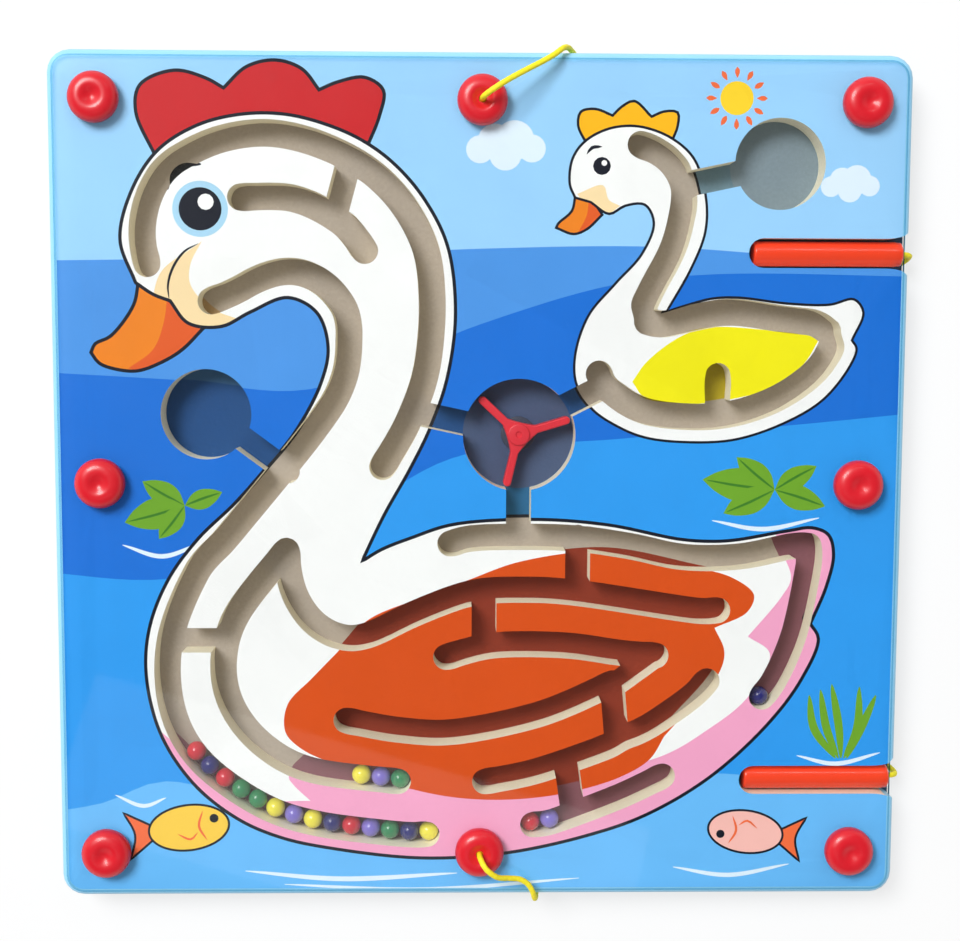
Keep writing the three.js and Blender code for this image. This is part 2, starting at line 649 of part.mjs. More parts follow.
const wandX = BOARD_WIDTH / 2 - SLOT_LENGTH + WAND_REST_GAP;
const wandZ = SLOT_FLOOR_Z + WAND_FLOOR_GAP + WAND_RADIUS;
for (const [place, y] of [["upper", UPPER_SLOT_Y], ["lower", LOWER_SLOT_Y]]) {
  addMesh(`wand_tube_${place}`, wandTubeGeometry(), "wand", wandX, y, wandZ);
  addMesh(`wand_magnet_${place}`, magnetGeometry(), "magnet", wandX, y, wandZ);
  addMesh(`wand_end_plug_${place}`, endPlugGeometry(), "wand", wandX, y, wandZ);
}

addMesh("cord_upper", geometryOf(knottedCord(UPPER_CORD)), "cord");
addMesh("cord_upper_tail", geometryOf(knottedCord(UPPER_TAIL)), "cord");
addMesh("cord_lower", geometryOf(knottedCord(LOWER_CORD)), "cord");
addMesh("cord_lower_tail", geometryOf(knottedCord(LOWER_TAIL)), "cord");

export default whole;
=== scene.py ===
import json
import math

import bmesh
import bpy
import numpy as np
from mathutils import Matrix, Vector
from mathutils.geometry import delaunay_2d_cdt


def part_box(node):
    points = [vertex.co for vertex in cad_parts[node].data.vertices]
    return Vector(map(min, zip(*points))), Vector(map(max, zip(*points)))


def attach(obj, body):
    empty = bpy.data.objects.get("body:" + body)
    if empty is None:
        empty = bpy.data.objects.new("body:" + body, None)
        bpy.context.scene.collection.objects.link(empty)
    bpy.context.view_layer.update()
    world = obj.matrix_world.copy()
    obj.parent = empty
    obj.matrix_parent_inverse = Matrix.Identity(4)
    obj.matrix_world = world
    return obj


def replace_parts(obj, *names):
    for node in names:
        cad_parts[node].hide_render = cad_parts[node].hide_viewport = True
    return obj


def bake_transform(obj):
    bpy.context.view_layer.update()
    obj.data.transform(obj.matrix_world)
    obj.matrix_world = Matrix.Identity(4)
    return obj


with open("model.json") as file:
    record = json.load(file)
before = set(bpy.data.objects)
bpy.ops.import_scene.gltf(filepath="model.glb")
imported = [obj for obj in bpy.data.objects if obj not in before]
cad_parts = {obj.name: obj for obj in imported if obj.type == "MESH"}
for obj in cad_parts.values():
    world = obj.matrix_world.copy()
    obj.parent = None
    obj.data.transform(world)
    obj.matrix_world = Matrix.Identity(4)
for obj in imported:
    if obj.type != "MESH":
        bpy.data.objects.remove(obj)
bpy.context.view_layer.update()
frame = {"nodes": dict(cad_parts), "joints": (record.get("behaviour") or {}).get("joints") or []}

# Magnetic maze board, dressed over its CAD solids: the print and its smooth grooves, caps, gate, wands,
# balls and cords. Lengths are written in millimetres and scaled to metres where a mesh is made.
MM = 0.001

# Camera
CAMERA_LENS = 56.087
CAMERA_SENSOR = 36
CAMERA_PLACE = (-11.2, 50.55, 542)
CAMERA_TILT_DEGREES = (-5.0108, -1.1676, 0.2371)

# Cords, each from the knot in its cap over the board's edge, under the board and on to the knot in its wand
CORD_DIAMETER = 2
CORD_KNOT_RADIUS = 1.9
CORD_RING_SPACING = 0.55
CORD_SIDES = 12
BRAID_PITCH = 4.2
BRAID_STRANDS = 4
BRAID_RELIEF = 0.05
CORD_SMOOTH_DEGREES = 60
CORD_FIRST_SIDE = (0.3, 1, 0.2)
UPPER_CORD = [
    (0, 132.5, 18.5), (0, 132.5, 21.5), (0, 132.5, 24.4), (0.5, 132.8, 26.7), (1.9, 133.7, 28.4),
    (3.9, 135, 29), (9, 138.3, 28.2), (14.5, 141.6, 25.9), (20, 144.8, 23.5), (24.4, 147.6, 21.6),
    (27.6, 150.3, 18.6), (29.6, 151.4, 14), (31, 151.5, 9), (32.4, 151, 4.8), (34.2, 148.4, 1.7),
    (36.5, 143.5, 1.1), (42, 131, 1.1), (51, 119, 1.1), (64, 112, 1.1), (78, 113, 1.1), (90, 120, 1.1),
    (103, 121, 1.1), (111, 112, 1.1), (109, 99, 1.1), (100, 87, 1.1), (100, 73, 1.1), (112, 64, 1.1),
    (127, 64, 1.1), (139, 70, 1.1), (147.9, 76.5, 1.2),
    (150.4, 78, 1.9), (151.9, 79, 3.5), (152.5, 79.8, 5.5), (152.5, 80.4, 7.5), (151.9, 80.7, 9.7),
    (150.4, 80.9, 11.2), (148.2, 81, 11.8), (143, 81, 11.8), (139.4, 81, 11.8),
]
LOWER_CORD = [
    (0, -132.5, 18.5), (0, -132.5, 21.5), (0, -132.5, 24.4), (0.4, -133, 26.7), (1.3, -134.4, 28.4),
    (2.8, -136.2, 29), (6.2, -138.9, 27.9), (10.5, -140.3, 25), (14.6, -141.4, 23.2), (17.6, -143.8, 22.2),
    (19.2, -147, 21), (20, -150.2, 18.2), (20.6, -151.4, 13.6), (21, -151.5, 9), (21.8, -151, 4.8),
    (23.6, -148.4, 1.7), (26.5, -143.5, 1.1), (33, -131, 1.1), (43, -120, 1.1), (56, -115, 1.1),
    (69, -119, 1.1), (80, -127, 1.1), (93, -130, 1.1), (104, -123, 1.1), (106, -110, 1.1), (99, -98, 1.1),
    (100, -85, 1.1), (112, -79, 1.1), (126, -83, 1.1), (137, -94, 1.1), (146.1, -103.9, 1.2),
    (149.8, -105.5, 1.9), (151.7, -106.3, 3.5), (152.4, -106.8, 5.5), (152.5, -107.1, 7.5),
    (151.9, -107.1, 9.7), (150.4, -107, 11.2), (148.2, -106.9, 11.8), (143, -106.9, 11.8),
    (139.4, -106.9, 11.8),
]

# Caps and plugs
CAP_RADIUS = 8.7
CAP_HEIGHT = 5
CAP_RIM_ROUND = 0.4
CAP_SHOULDER = 1.5
CAP_CROWN_RADIUS = 4.4
CAP_DIMPLE_DEPTH = 1.2
CAP_SHOULDER_POINTS = 12
CAP_DIMPLE_STEPS = 10
CAP_LIP = 1.6
CORD_HOLE_RADIUS = 1.35
SHANK_RADIUS = 3.6
SHANK_BORE_RADIUS = 2.3
FIT_GAP = 0.3
PLUG_EDGE = 0.9
PLUG_DISH_RADIUS = 4.6
PLUG_DISH_SLOPE = 0.6
PLUG_DISH_DEPTH = 0.5
CAP_TURN_STEP = 0.7
TURNED_STEPS = 56

# Turning gate
ARM_COUNT = 3
ARM_START_DEGREES = 16.8
ARM_WIDTH = 2.8
ARM_ROOT_RADIUS = 6.6
ARM_ROUND_STEPS = 12
HUB_RADIUS = 3.9
HUB_BOSS = 0.8
HUB_DIMPLE_RADIUS = 1.2
HUB_DIMPLE_DEPTH = 0.4
GATE_EDGE_ROUND = 0.5
GATE_EDGE_STEPS = 3
GATE_SHARP_DEGREES = 50
PIVOT_RADIUS = 1.6
PIVOT_DEPTH = 2
PIVOT_FLANGE = 1
PIVOT_EDGE = 0.35

# Wands
WAND_WALL = 1.2
WAND_TIP_ROUND = 0.9
STOPPER_DEPTH = 5
STOPPER_EDGE = 0.75
STOPPER_INSET = 0.15

# Balls
BALL_SIDES = 36
BALL_RINGS = 22
BALL_POLE_DEGREES = 86
BALL_SMOOTH_DEGREES = 80

# Board: a face is flat, level or upright by the share of its normal along an axis
GROOVE_STEP = 1.3
LONG_STRAIGHT = 12
CORNER_DEGREES = 40
BOARD_CORNER_RADIUS = 8
FACE_EDGE_BAND = 3.1
CAD_JOIN_DISTANCE = 1e-3
BOARD_JOIN_DISTANCE = 2e-4
CUT_TOLERANCE = 1e-4
RIM_TOLERANCE = 1e-3
RIM_END_SHARE = 1e-5
FLAT_NORMAL = 0.99
LEVEL_NORMAL = 0.9
ALONG_SLOT_NORMAL = 0.2

# Print
INK_ATTRIBUTE = "print_colour"
LINE_WIDTH = 1.2
PRINT_STEP = 1.6
FEWEST_DISC_SIDES = 12
STROKE_TIP_SHARE = 0.02
MITRE_LIMIT = 0.6
WATER_STEP = 4 * PRINT_STEP
WATER_BOTTOM = -160
GOAL_PLACE = (103.6, 111.7)
GOAL_RADIUS = 15.7
GATE_PLACE = (13.4, 17.1)
GATE_CHAMBER_RADIUS = 19.7

# Finishes: a noise's scale counts per metre and comes before its detail
BROAD_NOISE = (38, 3)
FINE_NOISE = (900, 4)
SMEAR_NOISE = (70, 5)
SPECK_NOISE = (420, 2)
SMEAR_MIDDLE = 0.25
RELIEF_HEIGHT = 0.2
WHITE = (1, 1, 1, 1)
ACRYLIC_INDEX = 1.49
ACRYLIC_TINT = (0.96, 0.97, 0.97, 1)
SAWN_EDGE_TINT = (0.6, 0.78, 0.86, 1)

# Floor, lamps and room; lamps in metres and watts
FLOOR_DROP = 0.1
FLOOR_REACH = 3000
FLOOR_WHITE = 0.7
FLOOR_NEAR = 0.25
FLOOR_FAR = 1.2
KEY_PLACE = (-1.6, 1.7, 3)
KEY_SIZE = (1.5, 1.5)
KEY_POWER = 134
MIRRORED_POWER = 26
ROOM_LIGHT = 0.42
WALL_LIFT = 0.6
CEILING_DARK = 0.96
CEILING_START = 0.25
CEILING_FULL = 0.7


def colour(red, green, blue):
    """Screen colour, 0 to 255, as the linear values that shaders use"""
    shares = [channel / 255 for channel in (red, green, blue)]
    return tuple(s / 12.92 if s <= 0.04045 else ((s + 0.055) / 1.055) ** 2.4 for s in shares)


SKY = colour(155, 210, 252)
NEAR_WATER = colour(75, 150, 230)
DEEP_WATER = colour(15, 112, 215)
CLEAR_WATER = colour(42, 155, 240)
SHORE_WATER = colour(104, 188, 250)
FOAM = colour(225, 242, 255)
LINE = colour(20, 25, 40)
FEATHER = colour(248, 248, 246)
CREST = colour(204, 28, 34)
CROWN = colour(253, 185, 10)
BEAK = colour(240, 132, 24)
BEAK_SHADE = colour(228, 92, 32)
CHEEK = colour(250, 222, 170)
EYE_HALO = colour(170, 215, 240)
WING = colour(218, 78, 6)
SMALL_WING = colour(245, 235, 0)
BREAST = colour(245, 165, 200)
SUN = colour(255, 214, 40)
SUN_RAY = colour(245, 110, 60)
LEAF = colour(112, 168, 40)
LEAF_DARK = colour(62, 128, 36)
FISH = colour(250, 205, 70)
FISH_PALE = colour(250, 190, 180)
EDGE_PAINT = colour(150, 212, 244)
SLOT_FLOOR = colour(70, 125, 185)
# The goal chamber's pale floor is painted glare, standing for the cover's reflection over it
GOAL_GLARE_FLOOR = colour(180, 218, 250)
GATE_FLOOR = colour(98, 132, 196)

# Pink and orange inks made darker on the groove floors: painted shade, standing for the shade that the groove
# walls cast
SHADED_FLOOR_INKS = {BREAST: colour(184, 124, 150), WING: colour(190, 64, 2)}


# Curves

SHORTEST_STEP = 1e-6
SHORTEST_VECTOR = 1e-9


def hermite(start, end, start_slope, end_slope, count):
    """That many points from start up to, but not at, the end of a cubic stretch"""
    t = np.arange(count)[:, None] / count
    return (
        (2 * t**3 - 3 * t**2 + 1) * start
        + (t**3 - 2 * t**2 + t) * start_slope
        + (3 * t**2 - 2 * t**3) * end
        + (t**3 - t**2) * end_slope
    )


def spline(points, spacing):
    """Points about that far apart on the centripetal curve through the given ones"""
    through = np.array(points, float)
    knots = np.vstack([2 * through[0] - through[1], through, 2 * through[-1] - through[-2]])
    stretches = []
    for a, b, c, d in zip(knots, knots[1:], knots[2:], knots[3:]):
        steps = [np.linalg.norm(q - p) for p, q in ((a, b), (b, c), (c, d))]
        before, here, after = (max(step, SHORTEST_STEP) ** 0.5 for step in steps)
        start_slope = here * ((b - a) / before - (c - a) / (before + here) + (c - b) / here)
        end_slope = here * ((c - b) / here - (d - b) / (here + after) + (d - c) / after)
        count = max(1, math.ceil(np.linalg.norm(c - b) / spacing))
        stretches.append(hermite(b, c, start_slope, end_slope, count))
    stretches.append(through[-1:])
    return np.vstack(stretches)


def unit(vectors):
    """Vectors of length one"""
    return vectors / np.maximum(np.linalg.norm(vectors, axis=-1, keepdims=True), SHORTEST_VECTOR)


def directions(degrees):
    """Unit steps along and across a direction in the plane"""
    turn = math.radians(degrees)
    along = np.array([math.cos(turn), math.sin(turn)])
    return along, np.array([-along[1], along[0]])


# Meshes


def add_object(name, vertices, faces, material, smooth_degrees=35):
    """A mesh from points in millimetres, smooth except at edges sharper than the angle"""
    mesh = bpy.data.meshes.new(name)
    mesh.from_pydata([tuple(v) for v in np.array(vertices, float) * MM], [], faces)
    mesh.update()
    mesh.shade_smooth()
    mesh.set_sharp_from_angle(angle=math.radians(smooth_degrees))
    mesh.materials.append(material)
    made = bpy.data.objects.new(name, mesh)
    bpy.context.scene.collection.objects.link(made)
    return made


def turned(profile, steps=TURNED_STEPS):
    """Points and faces of a profile turned about Z, given as radii and heights

    A profile that starts off the axis closes on itself.
    """
    vertices = []
    faces = []
    rings = []
    for radius, height in profile:
        if radius == 0:
            rings.append([len(vertices)] * steps)
            vertices.append((0, 0, height))
            continue
        rings.append(range(len(vertices), len(vertices) + steps))
        for step in range(steps):
            angle = 2 * math.pi * step / steps
            vertices.append((radius * math.cos(angle), radius * math.sin(angle), height))
    pairs = list(zip(rings, rings[1:]))
    if profile[0][0] > 0:
        pairs.append((rings[-1], rings[0]))
    for lower, upper in pairs:
        for step in range(steps):
            after = (step + 1) % steps
            corners = [lower[step], lower[after], upper[after], upper[step]]
            faces.append(tuple(dict.fromkeys(corners)))
    return np.array(vertices), faces


def arc(middle_radius, middle_height, radius, start_degrees, end_degrees, steps):
    """Points of a profile on a round edge"""
    angles = np.radians(np.linspace(start_degrees, end_degrees, steps + 1))
    return [(middle_radius + radius * math.cos(a), middle_height + radius * math.sin(a)) for a in angles]


def apply_modifiers(piece):
    """Keeps the mesh that the piece's modifiers make"""
    bpy.context.view_layer.update()
    mesh = bpy.data.meshes.new_from_object(piece.evaluated_get(bpy.context.evaluated_depsgraph_get()))
    piece.modifiers.clear()
    piece.data = mesh


def middle_of(node):
    """The middle of a CAD node's box in millimetres"""
    low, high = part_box(node)
    return np.array((low + high) / 2) / MM


def recolour(node, material):
    """Gives a CAD node that stays in sight another material"""
    slots = frame["nodes"][node].data.materials
    slots.clear()
    slots.append(material)


# Shader nodes

COLOUR, FLOAT = "NodeSocketColor", "NodeSocketFloat"


def connect(tree, value, socket):
    """Sets a socket to a value, or links it to the socket that gives one"""
    if isinstance(value, bpy.types.NodeSocket):
        tree.links.new(value, socket)
    else:
        socket.default_value = value


def add_node(tree, kind, *given, operation=None, **named):
    """A new node, with its first inputs given in order and others by name"""
    node = tree.nodes.new(kind)
    if operation:
        node.operation = operation
    for socket, value in zip(node.inputs, given):
        connect(tree, value, socket)
    for label, value in named.items():
        connect(tree, value, node.inputs[label.replace("_", " ")])
    return node


def math_node(tree, operation, *given):
    return add_node(tree, "ShaderNodeMath", *given, operation=operation).outputs["Value"]


def noise(tree, scale, detail):
    """A noise on object coordinates"""
    place = add_node(tree, "ShaderNodeTexCoord").outputs["Object"]
    return add_node(tree, "ShaderNodeTexNoise", Vector=place, Scale=scale, Detail=detail).outputs["Fac"]


def transparent(tree, tint):
    return add_node(tree, "ShaderNodeBsdfTransparent", tint).outputs["BSDF"]


def mixed(tree, share, first, second):
    """The first shader, with that share of the second in its place"""
    return add_node(tree, "ShaderNodeMixShader", share, first, second).outputs["Shader"]


def set_surface(tree, shader):
    tree.links.new(shader, tree.nodes["Material Output"].inputs["Surface"])


def shader_group(name, inputs, outputs):
    """A new node group with its named inputs and outputs, as the tree, its input node and its output node"""
    tree = bpy.data.node_groups.new(name, "ShaderNodeTree")
    for label, kind, value in inputs:
        socket = tree.interface.new_socket(label, in_out="INPUT", socket_type=kind)
        socket.default_value = value
    for label, kind in outputs:
        tree.interface.new_socket(label, in_out="OUTPUT", socket_type=kind)
    return tree, tree.nodes.new("NodeGroupInput"), tree.nodes.new("NodeGroupOutput")


def uneven_colour_group():
    """Ink, dye or stain that varies a little over broad patches and in fine grain"""
    tree, given, out = shader_group(
        "uneven_colour",
        [("Colour", COLOUR, WHITE), ("Patches", FLOAT, 0.15), ("Grain", FLOAT, 0.1)],
        [("Colour", COLOUR), ("Height", FLOAT)],
    )
    grain = noise(tree, *FINE_NOISE)
    gain = 1.0
    for texture, share in ((noise(tree, *BROAD_NOISE), "Patches"), (grain, "Grain")):
        swing = math_node(tree, "SUBTRACT", texture, 0.5)
        gain = math_node(tree, "ADD", math_node(tree, "MULTIPLY", swing, given.outputs[share]), gain)
    scaled = add_node(tree, "ShaderNodeVectorMath", given.outputs["Colour"], operation="SCALE", Scale=gain)
    tree.links.new(scaled.outputs["Vector"], out.inputs["Colour"])
    tree.links.new(grain, out.inputs["Height"])
    return tree


def handling_group():
    """Finger smears and rubbed spots, as a change of roughness"""
    tree, given, out = shader_group(
        "handling",
        [("Roughness", FLOAT, 0.3), ("Smears", FLOAT, 0.3)],
        [("Roughness", FLOAT)],
    )
    both = math_node(tree, "MULTIPLY", noise(tree, *SMEAR_NOISE), noise(tree, *SPECK_NOISE))
    swing = math_node(tree, "SUBTRACT", both, SMEAR_MIDDLE)
    change = math_node(tree, "MULTIPLY", swing, given.outputs["Smears"])
    tree.links.new(math_node(tree, "ADD", given.outputs["Roughness"], change), out.inputs["Roughness"])
    return tree


UNEVEN = uneven_colour_group()
HANDLING = handling_group()


def group_node(tree, group, **values):
    """A use of a shader group, with its inputs set to numbers or linked to sockets"""
    node = tree.nodes.new("ShaderNodeGroup")
    node.node_tree = group
    for label, value in values.items():
        connect(tree, value, node.inputs[label])
    return node


# Materials


def new_material(name):
    """A new material, its node tree and its surface node"""
    material = bpy.data.materials.new(name)
    material.use_nodes = True
    return material, material.node_tree, material.node_tree.nodes["Principled BSDF"]


def finish(name, base, roughness, patches=0.12, grain=0.08, smears=0.25, relief=0.0, stain=None, **settings):
    """A procedural surface, varied by the shared groups

    Its colour is a value or an attribute's name, times the stain where there is one.
    """
    material, tree, skin = new_material(name)
    if isinstance(base, str):
        ink = add_node(tree, "ShaderNodeAttribute")
        ink.attribute_name = base
        base = ink.outputs["Color"]
    else:
        base = (*base, 1)
    if stain:
        base = add_node(tree, "ShaderNodeVectorMath", base, stain, operation="MULTIPLY").outputs["Vector"]
    tone = group_node(tree, UNEVEN, Colour=base, Patches=patches, Grain=grain)
    touch = group_node(tree, HANDLING, Roughness=roughness, Smears=smears)
    tree.links.new(tone.outputs["Colour"], skin.inputs["Base Color"])
    tree.links.new(touch.outputs["Roughness"], skin.inputs["Roughness"])
    if relief:
        bump = add_node(tree, "ShaderNodeBump", Strength=relief, Distance=RELIEF_HEIGHT * MM)
        tree.links.new(tone.outputs["Height"], bump.inputs["Height"])
        tree.links.new(bump.outputs["Normal"], skin.inputs["Normal"])
    for label, value in settings.items():
        skin.inputs[label.replace("_", " ")].default_value = value
    return material


def clear_acrylic(name):
    """Clear sheet with plain sawn edges, which lets lamps through to what lies under it"""
    material, tree, skin = new_material(name)
    skin.inputs["Base Color"].default_value = WHITE
    skin.inputs["IOR"].default_value = ACRYLIC_INDEX
    skin.inputs["Transmission Weight"].default_value = 1
    touch = group_node(tree, HANDLING, Roughness=0.03, Smears=0.08)
    tree.links.new(touch.outputs["Roughness"], skin.inputs["Roughness"])
    ray = add_node(tree, "ShaderNodeLightPath")
    let_through = math_node(tree, "MAXIMUM", ray.outputs["Is Shadow Ray"], ray.outputs["Is Diffuse Ray"])
    sheet = mixed(tree, let_through, skin.outputs["BSDF"], transparent(tree, ACRYLIC_TINT))
    side = add_node(tree, "ShaderNodeNewGeometry").outputs["True Normal"]
    slope = add_node(tree, "ShaderNodeSeparateXYZ", side).outputs["Z"]
    sawn = math_node(tree, "LESS_THAN", math_node(tree, "ABSOLUTE", slope), LEVEL_NORMAL)
    set_surface(tree, mixed(tree, sawn, sheet, transparent(tree, SAWN_EDGE_TINT)))
    return material


PRINTED = finish("printed_face", INK_ATTRIBUTE, 0.42, patches=0.1, grain=0.05, Specular_IOR_Level=0.3)
FLOOR = finish(
    "groove_floor",
    INK_ATTRIBUTE,
    0.75,
    patches=0.25,
    grain=0.3,
    smears=0.1,
    relief=0.3,
    stain=colour(176, 164, 152),
)
WALL = finish("cut_fibre", colour(246, 238, 214), 0.8, patches=0.1, grain=0.15, relief=0.4)
EDGE = finish("painted_edge", EDGE_PAINT, 0.4, patches=0.15, grain=0.06)
BACK = finish("bare_back", colour(188, 158, 118), 0.85, patches=0.2, grain=0.4, relief=0.5)
ACRYLIC = clear_acrylic("clear_acrylic")
CAP = finish("red_cap", colour(214, 16, 34), 0.36, smears=0.4, Coat_Weight=0.15)
GATE = finish("red_gate", colour(222, 44, 58), 0.35)
PIVOT = finish("dark_pivot", colour(58, 66, 84), 0.4)
WAND = finish("orange_wand", colour(250, 66, 26), 0.25, smears=0.12, Coat_Weight=0.4)
STEEL = finish("magnet_steel", colour(150, 152, 156), 0.3, Metallic=1.0)
CORD = finish("yellow_cord", colour(250, 232, 30), 0.6, patches=0.2, grain=0.5, relief=0.3)
BALL_COATS = {
    tint: finish(tint + "_coat", coat, 0.22, Coat_Weight=0.6)
    for tint, coat in [
        ("red", colour(205, 38, 56)),
        ("yellow", colour(238, 226, 70)),
        ("green", colour(52, 134, 88)),
        ("blue", colour(38, 40, 112)),
        ("purple", colour(126, 112, 200)),
    ]
}


# Camera

scene = bpy.context.scene
camera = bpy.data.objects.new("photo_camera", bpy.data.cameras.new("photo_camera"))
camera.data.lens = CAMERA_LENS
camera.data.sensor_width = CAMERA_SENSOR
camera.location = Vector(CAMERA_PLACE) * MM
camera.rotation_euler = [math.radians(angle) for angle in CAMERA_TILT_DEGREES]
scene.collection.objects.link(camera)
scene.camera = camera
scene.view_settings.view_transform = "Standard"


# Cords


def braided_tube(path, along):
    """Points and faces of a braided cord on a path, with a knot at each end"""
    tangents = unit(np.gradient(path, axis=0))
    side = unit(np.cross(tangents[0], CORD_FIRST_SIDE))
    turns = np.arange(CORD_SIDES) * 2 * math.pi / CORD_SIDES
    rings = []
    for place, tangent, distance in zip(path, tangents, along):
        side = unit(side - tangent * (side @ tangent))
        across = np.cross(tangent, side)
        to_end = min(distance, along[-1] - distance)
        knot = math.sqrt(max(CORD_KNOT_RADIUS**2 - (to_end - CORD_KNOT_RADIUS) ** 2, 0))
        lay = 2 * math.pi * distance / BRAID_PITCH
        weave = np.cos(lay + BRAID_STRANDS * turns / 2) * np.cos(lay - BRAID_STRANDS * turns / 2)
        radius = np.maximum(CORD_DIAMETER / 2 * (1 + BRAID_RELIEF * weave), knot)
        outwards = np.cos(turns)[:, None] * side + np.sin(turns)[:, None] * across
        rings.append(place + radius[:, None] * outwards)
    last = CORD_SIDES * (len(rings) - 1)
    faces = [tuple(reversed(range(CORD_SIDES))), tuple(range(last, last + CORD_SIDES))]
    for low in range(0, last, CORD_SIDES):
        high = low + CORD_SIDES
        for step in range(CORD_SIDES):
            after = (step + 1) % CORD_SIDES
            faces.append((low + step, low + after, high + after, high + step))
    return np.vstack(rings), faces


def cord_piece(name, points):
    """A braided cord along the given points, from the knot in its cap to the knot in its wand"""
    path = spline(points, CORD_RING_SPACING)
    along = np.concatenate([[0], np.cumsum(np.linalg.norm(np.diff(path, axis=0), axis=1))])
    piece = add_object(name, *braided_tube(path, along), CORD, CORD_SMOOTH_DEGREES)
    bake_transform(piece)
    return piece


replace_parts(cord_piece("braided_cord_upper", UPPER_CORD), "cord_upper", "cord_upper_tail")
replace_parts(cord_piece("braided_cord_lower", LOWER_CORD), "cord_lower", "cord_lower_tail")


# Print on the face: outlines in millimetres on the board's face, painted one over another

paint = []


def put(outline, ink, within=None):
    """Paints a shape, or the part of it that lies within another outline"""
    paint.append((outline, ink, within))


def turning_left(outline):
    """The outline with its inside on its left"""
    x, y = outline.T
    area = np.sum(x * np.roll(y, -1) - np.roll(x, -1) * y)
    return outline if area > 0 else outline[::-1]


def shape(*stretches):
    """A closed outline of smooth stretches; each starts where the one before it ends"""
    runs = []
    start = stretches[-1][-1]
    for points in stretches:
        runs.append(spline([start, *points], PRINT_STEP)[:-1])
        start = points[-1]
    return turning_left(np.vstack(runs))


def grown(outline, distance):
    """The outline moved outwards, or inwards for a distance below zero"""
    ahead = unit(np.roll(outline, -1, 0) - outline)
    behind = np.roll(ahead, 1, 0)
    middle = unit(ahead + behind)
    reach = distance / np.maximum((middle * ahead).sum(1), MITRE_LIMIT)
    return outline + np.stack([middle[:, 1], -middle[:, 0]], 1) * reach[:, None]


def lined(outline, ink, width=LINE_WIDTH):
    """A filled shape with a dark line round it; gives the outline inside the line"""
    inner = grown(outline, -width / 2)
    put(grown(outline, width / 2), LINE)
    put(inner, ink)
    return inner


def disc(x, y, radius, other_radius=None, turn_degrees=0):
    """A round or oval outline"""
    count = max(FEWEST_DISC_SIDES, round(2 * math.pi * radius / PRINT_STEP))
    angles = np.arange(count) * 2 * math.pi / count
    points = np.stack([radius * np.cos(angles), (other_radius or radius) * np.sin(angles)], 1)
    return points @ np.stack(directions(turn_degrees)) + (x, y)


def stroke(points, width, ink):
    """A brush line through the points, full in its middle and pointed at its ends"""
    line = spline(points, PRINT_STEP)
    tangents = unit(np.gradient(line, axis=0))
    across = np.stack([-tangents[:, 1], tangents[:, 0]], 1)
    share = np.linspace(0, 1, len(line))
    swell = np.sqrt(np.sin(math.pi * share).clip(STROKE_TIP_SHARE))
    half = (swell * width / 2)[:, None] * across
    put(turning_left(np.vstack([line - half, (line + half)[::-1]])), ink)


def placing(x, y, turn_degrees, length, half_width):
    """A function that finds points by their shares of a turned figure's length and half width"""
    along, across = directions(turn_degrees)

    def at(ahead, aside):
        return tuple(np.array([x, y]) + ahead * length * along + aside * half_width * across)

    return at


def leaf(x, y, length, width, turn_degrees, ink):
    """A pointed leaf with a dark midrib"""
    at = placing(x, y, turn_degrees, length, width / 2)
    edge = [at(0.25, 0.8), at(0.5, 1), at(0.8, 0.6), at(1, 0)]
    other = [at(0.8, -0.6), at(0.5, -1), at(0.25, -0.8), at(0, 0)]
    put(shape(edge, other), ink)
    stroke([at(0.02, 0), at(0.5, 0.06), at(0.94, 0)], 0.9, LEAF_DARK)


def water(ink, *surface):
    """Everything below a wavy line from side to side"""
    line = spline(surface, WATER_STEP)
    bottom = [(surface[-1][0], WATER_BOTTOM), (surface[0][0], WATER_BOTTOM)]
    put(turning_left(np.vstack([line, bottom])), ink)


def cloud(x, y, size):
    """A cloud of round puffs"""
    puffs = [(-1.1, 0, 0.6), (-0.45, 0.35, 0.75), (0.4, 0.4, 0.85), (1.15, 0.05, 0.6), (0, -0.2, 0.7)]
    for across, up, radius in puffs:
        put(disc(x + across * size, y + up * size, radius * size), FOAM)


def fish(x, y, length, ink, turn_degrees):
    """A plain fish: an oval body, a forked tail, a gill line and an eye"""
    at = placing(x, y, turn_degrees, length, length)
    tail = [[at(-0.62, 0.24)], [at(-0.54, 0), at(-0.62, -0.24)], [at(-0.3, -0.03)], [at(-0.3, 0.03)]]
    lined(shape(*tail), SUN_RAY, 0.8)
    lined(disc(x, y, 0.4 * length, 0.23 * length, turn_degrees), ink, 0.8)
    stroke([at(0.16, 0.15), at(0.1, 0), at(0.16, -0.15)], 0.9, SUN_RAY)
    put(disc(*at(0.26, 0.06), 0.045 * length), LINE)
    stroke([at(-0.12, -0.05), at(0, -0.12), at(0.08, -0.06)], 0.8, SUN_RAY)


def eye(x, y, pupil, glint):
    """A dark eye with a bright spot"""
    put(disc(x, y, pupil), LINE)
    put(disc(x + 0.26 * pupil, y + 0.33 * pupil, glint), FEATHER)


# Sky and water

water(NEAR_WATER, (-160, 77), (-60, 79), (0, 82), (60, 83), (110, 80), (160, 78))
water(DEEP_WATER, (-160, 39), (-105, 36), (-60, 33), (0, 56), (45, 69.5), (80, 73.5), (160, 73))
water(CLEAR_WATER, (-160, -31), (-110, -34), (-60, -20), (-10, 9), (50, 16), (100, 20), (160, 26))
water(SHORE_WATER, (-160, -119), (-135, -115), (-112, -107), (-60, -122), (30, -124), (62, -106), (160, -112))

# Clouds, a sun, leaves, fish and grass round the swans

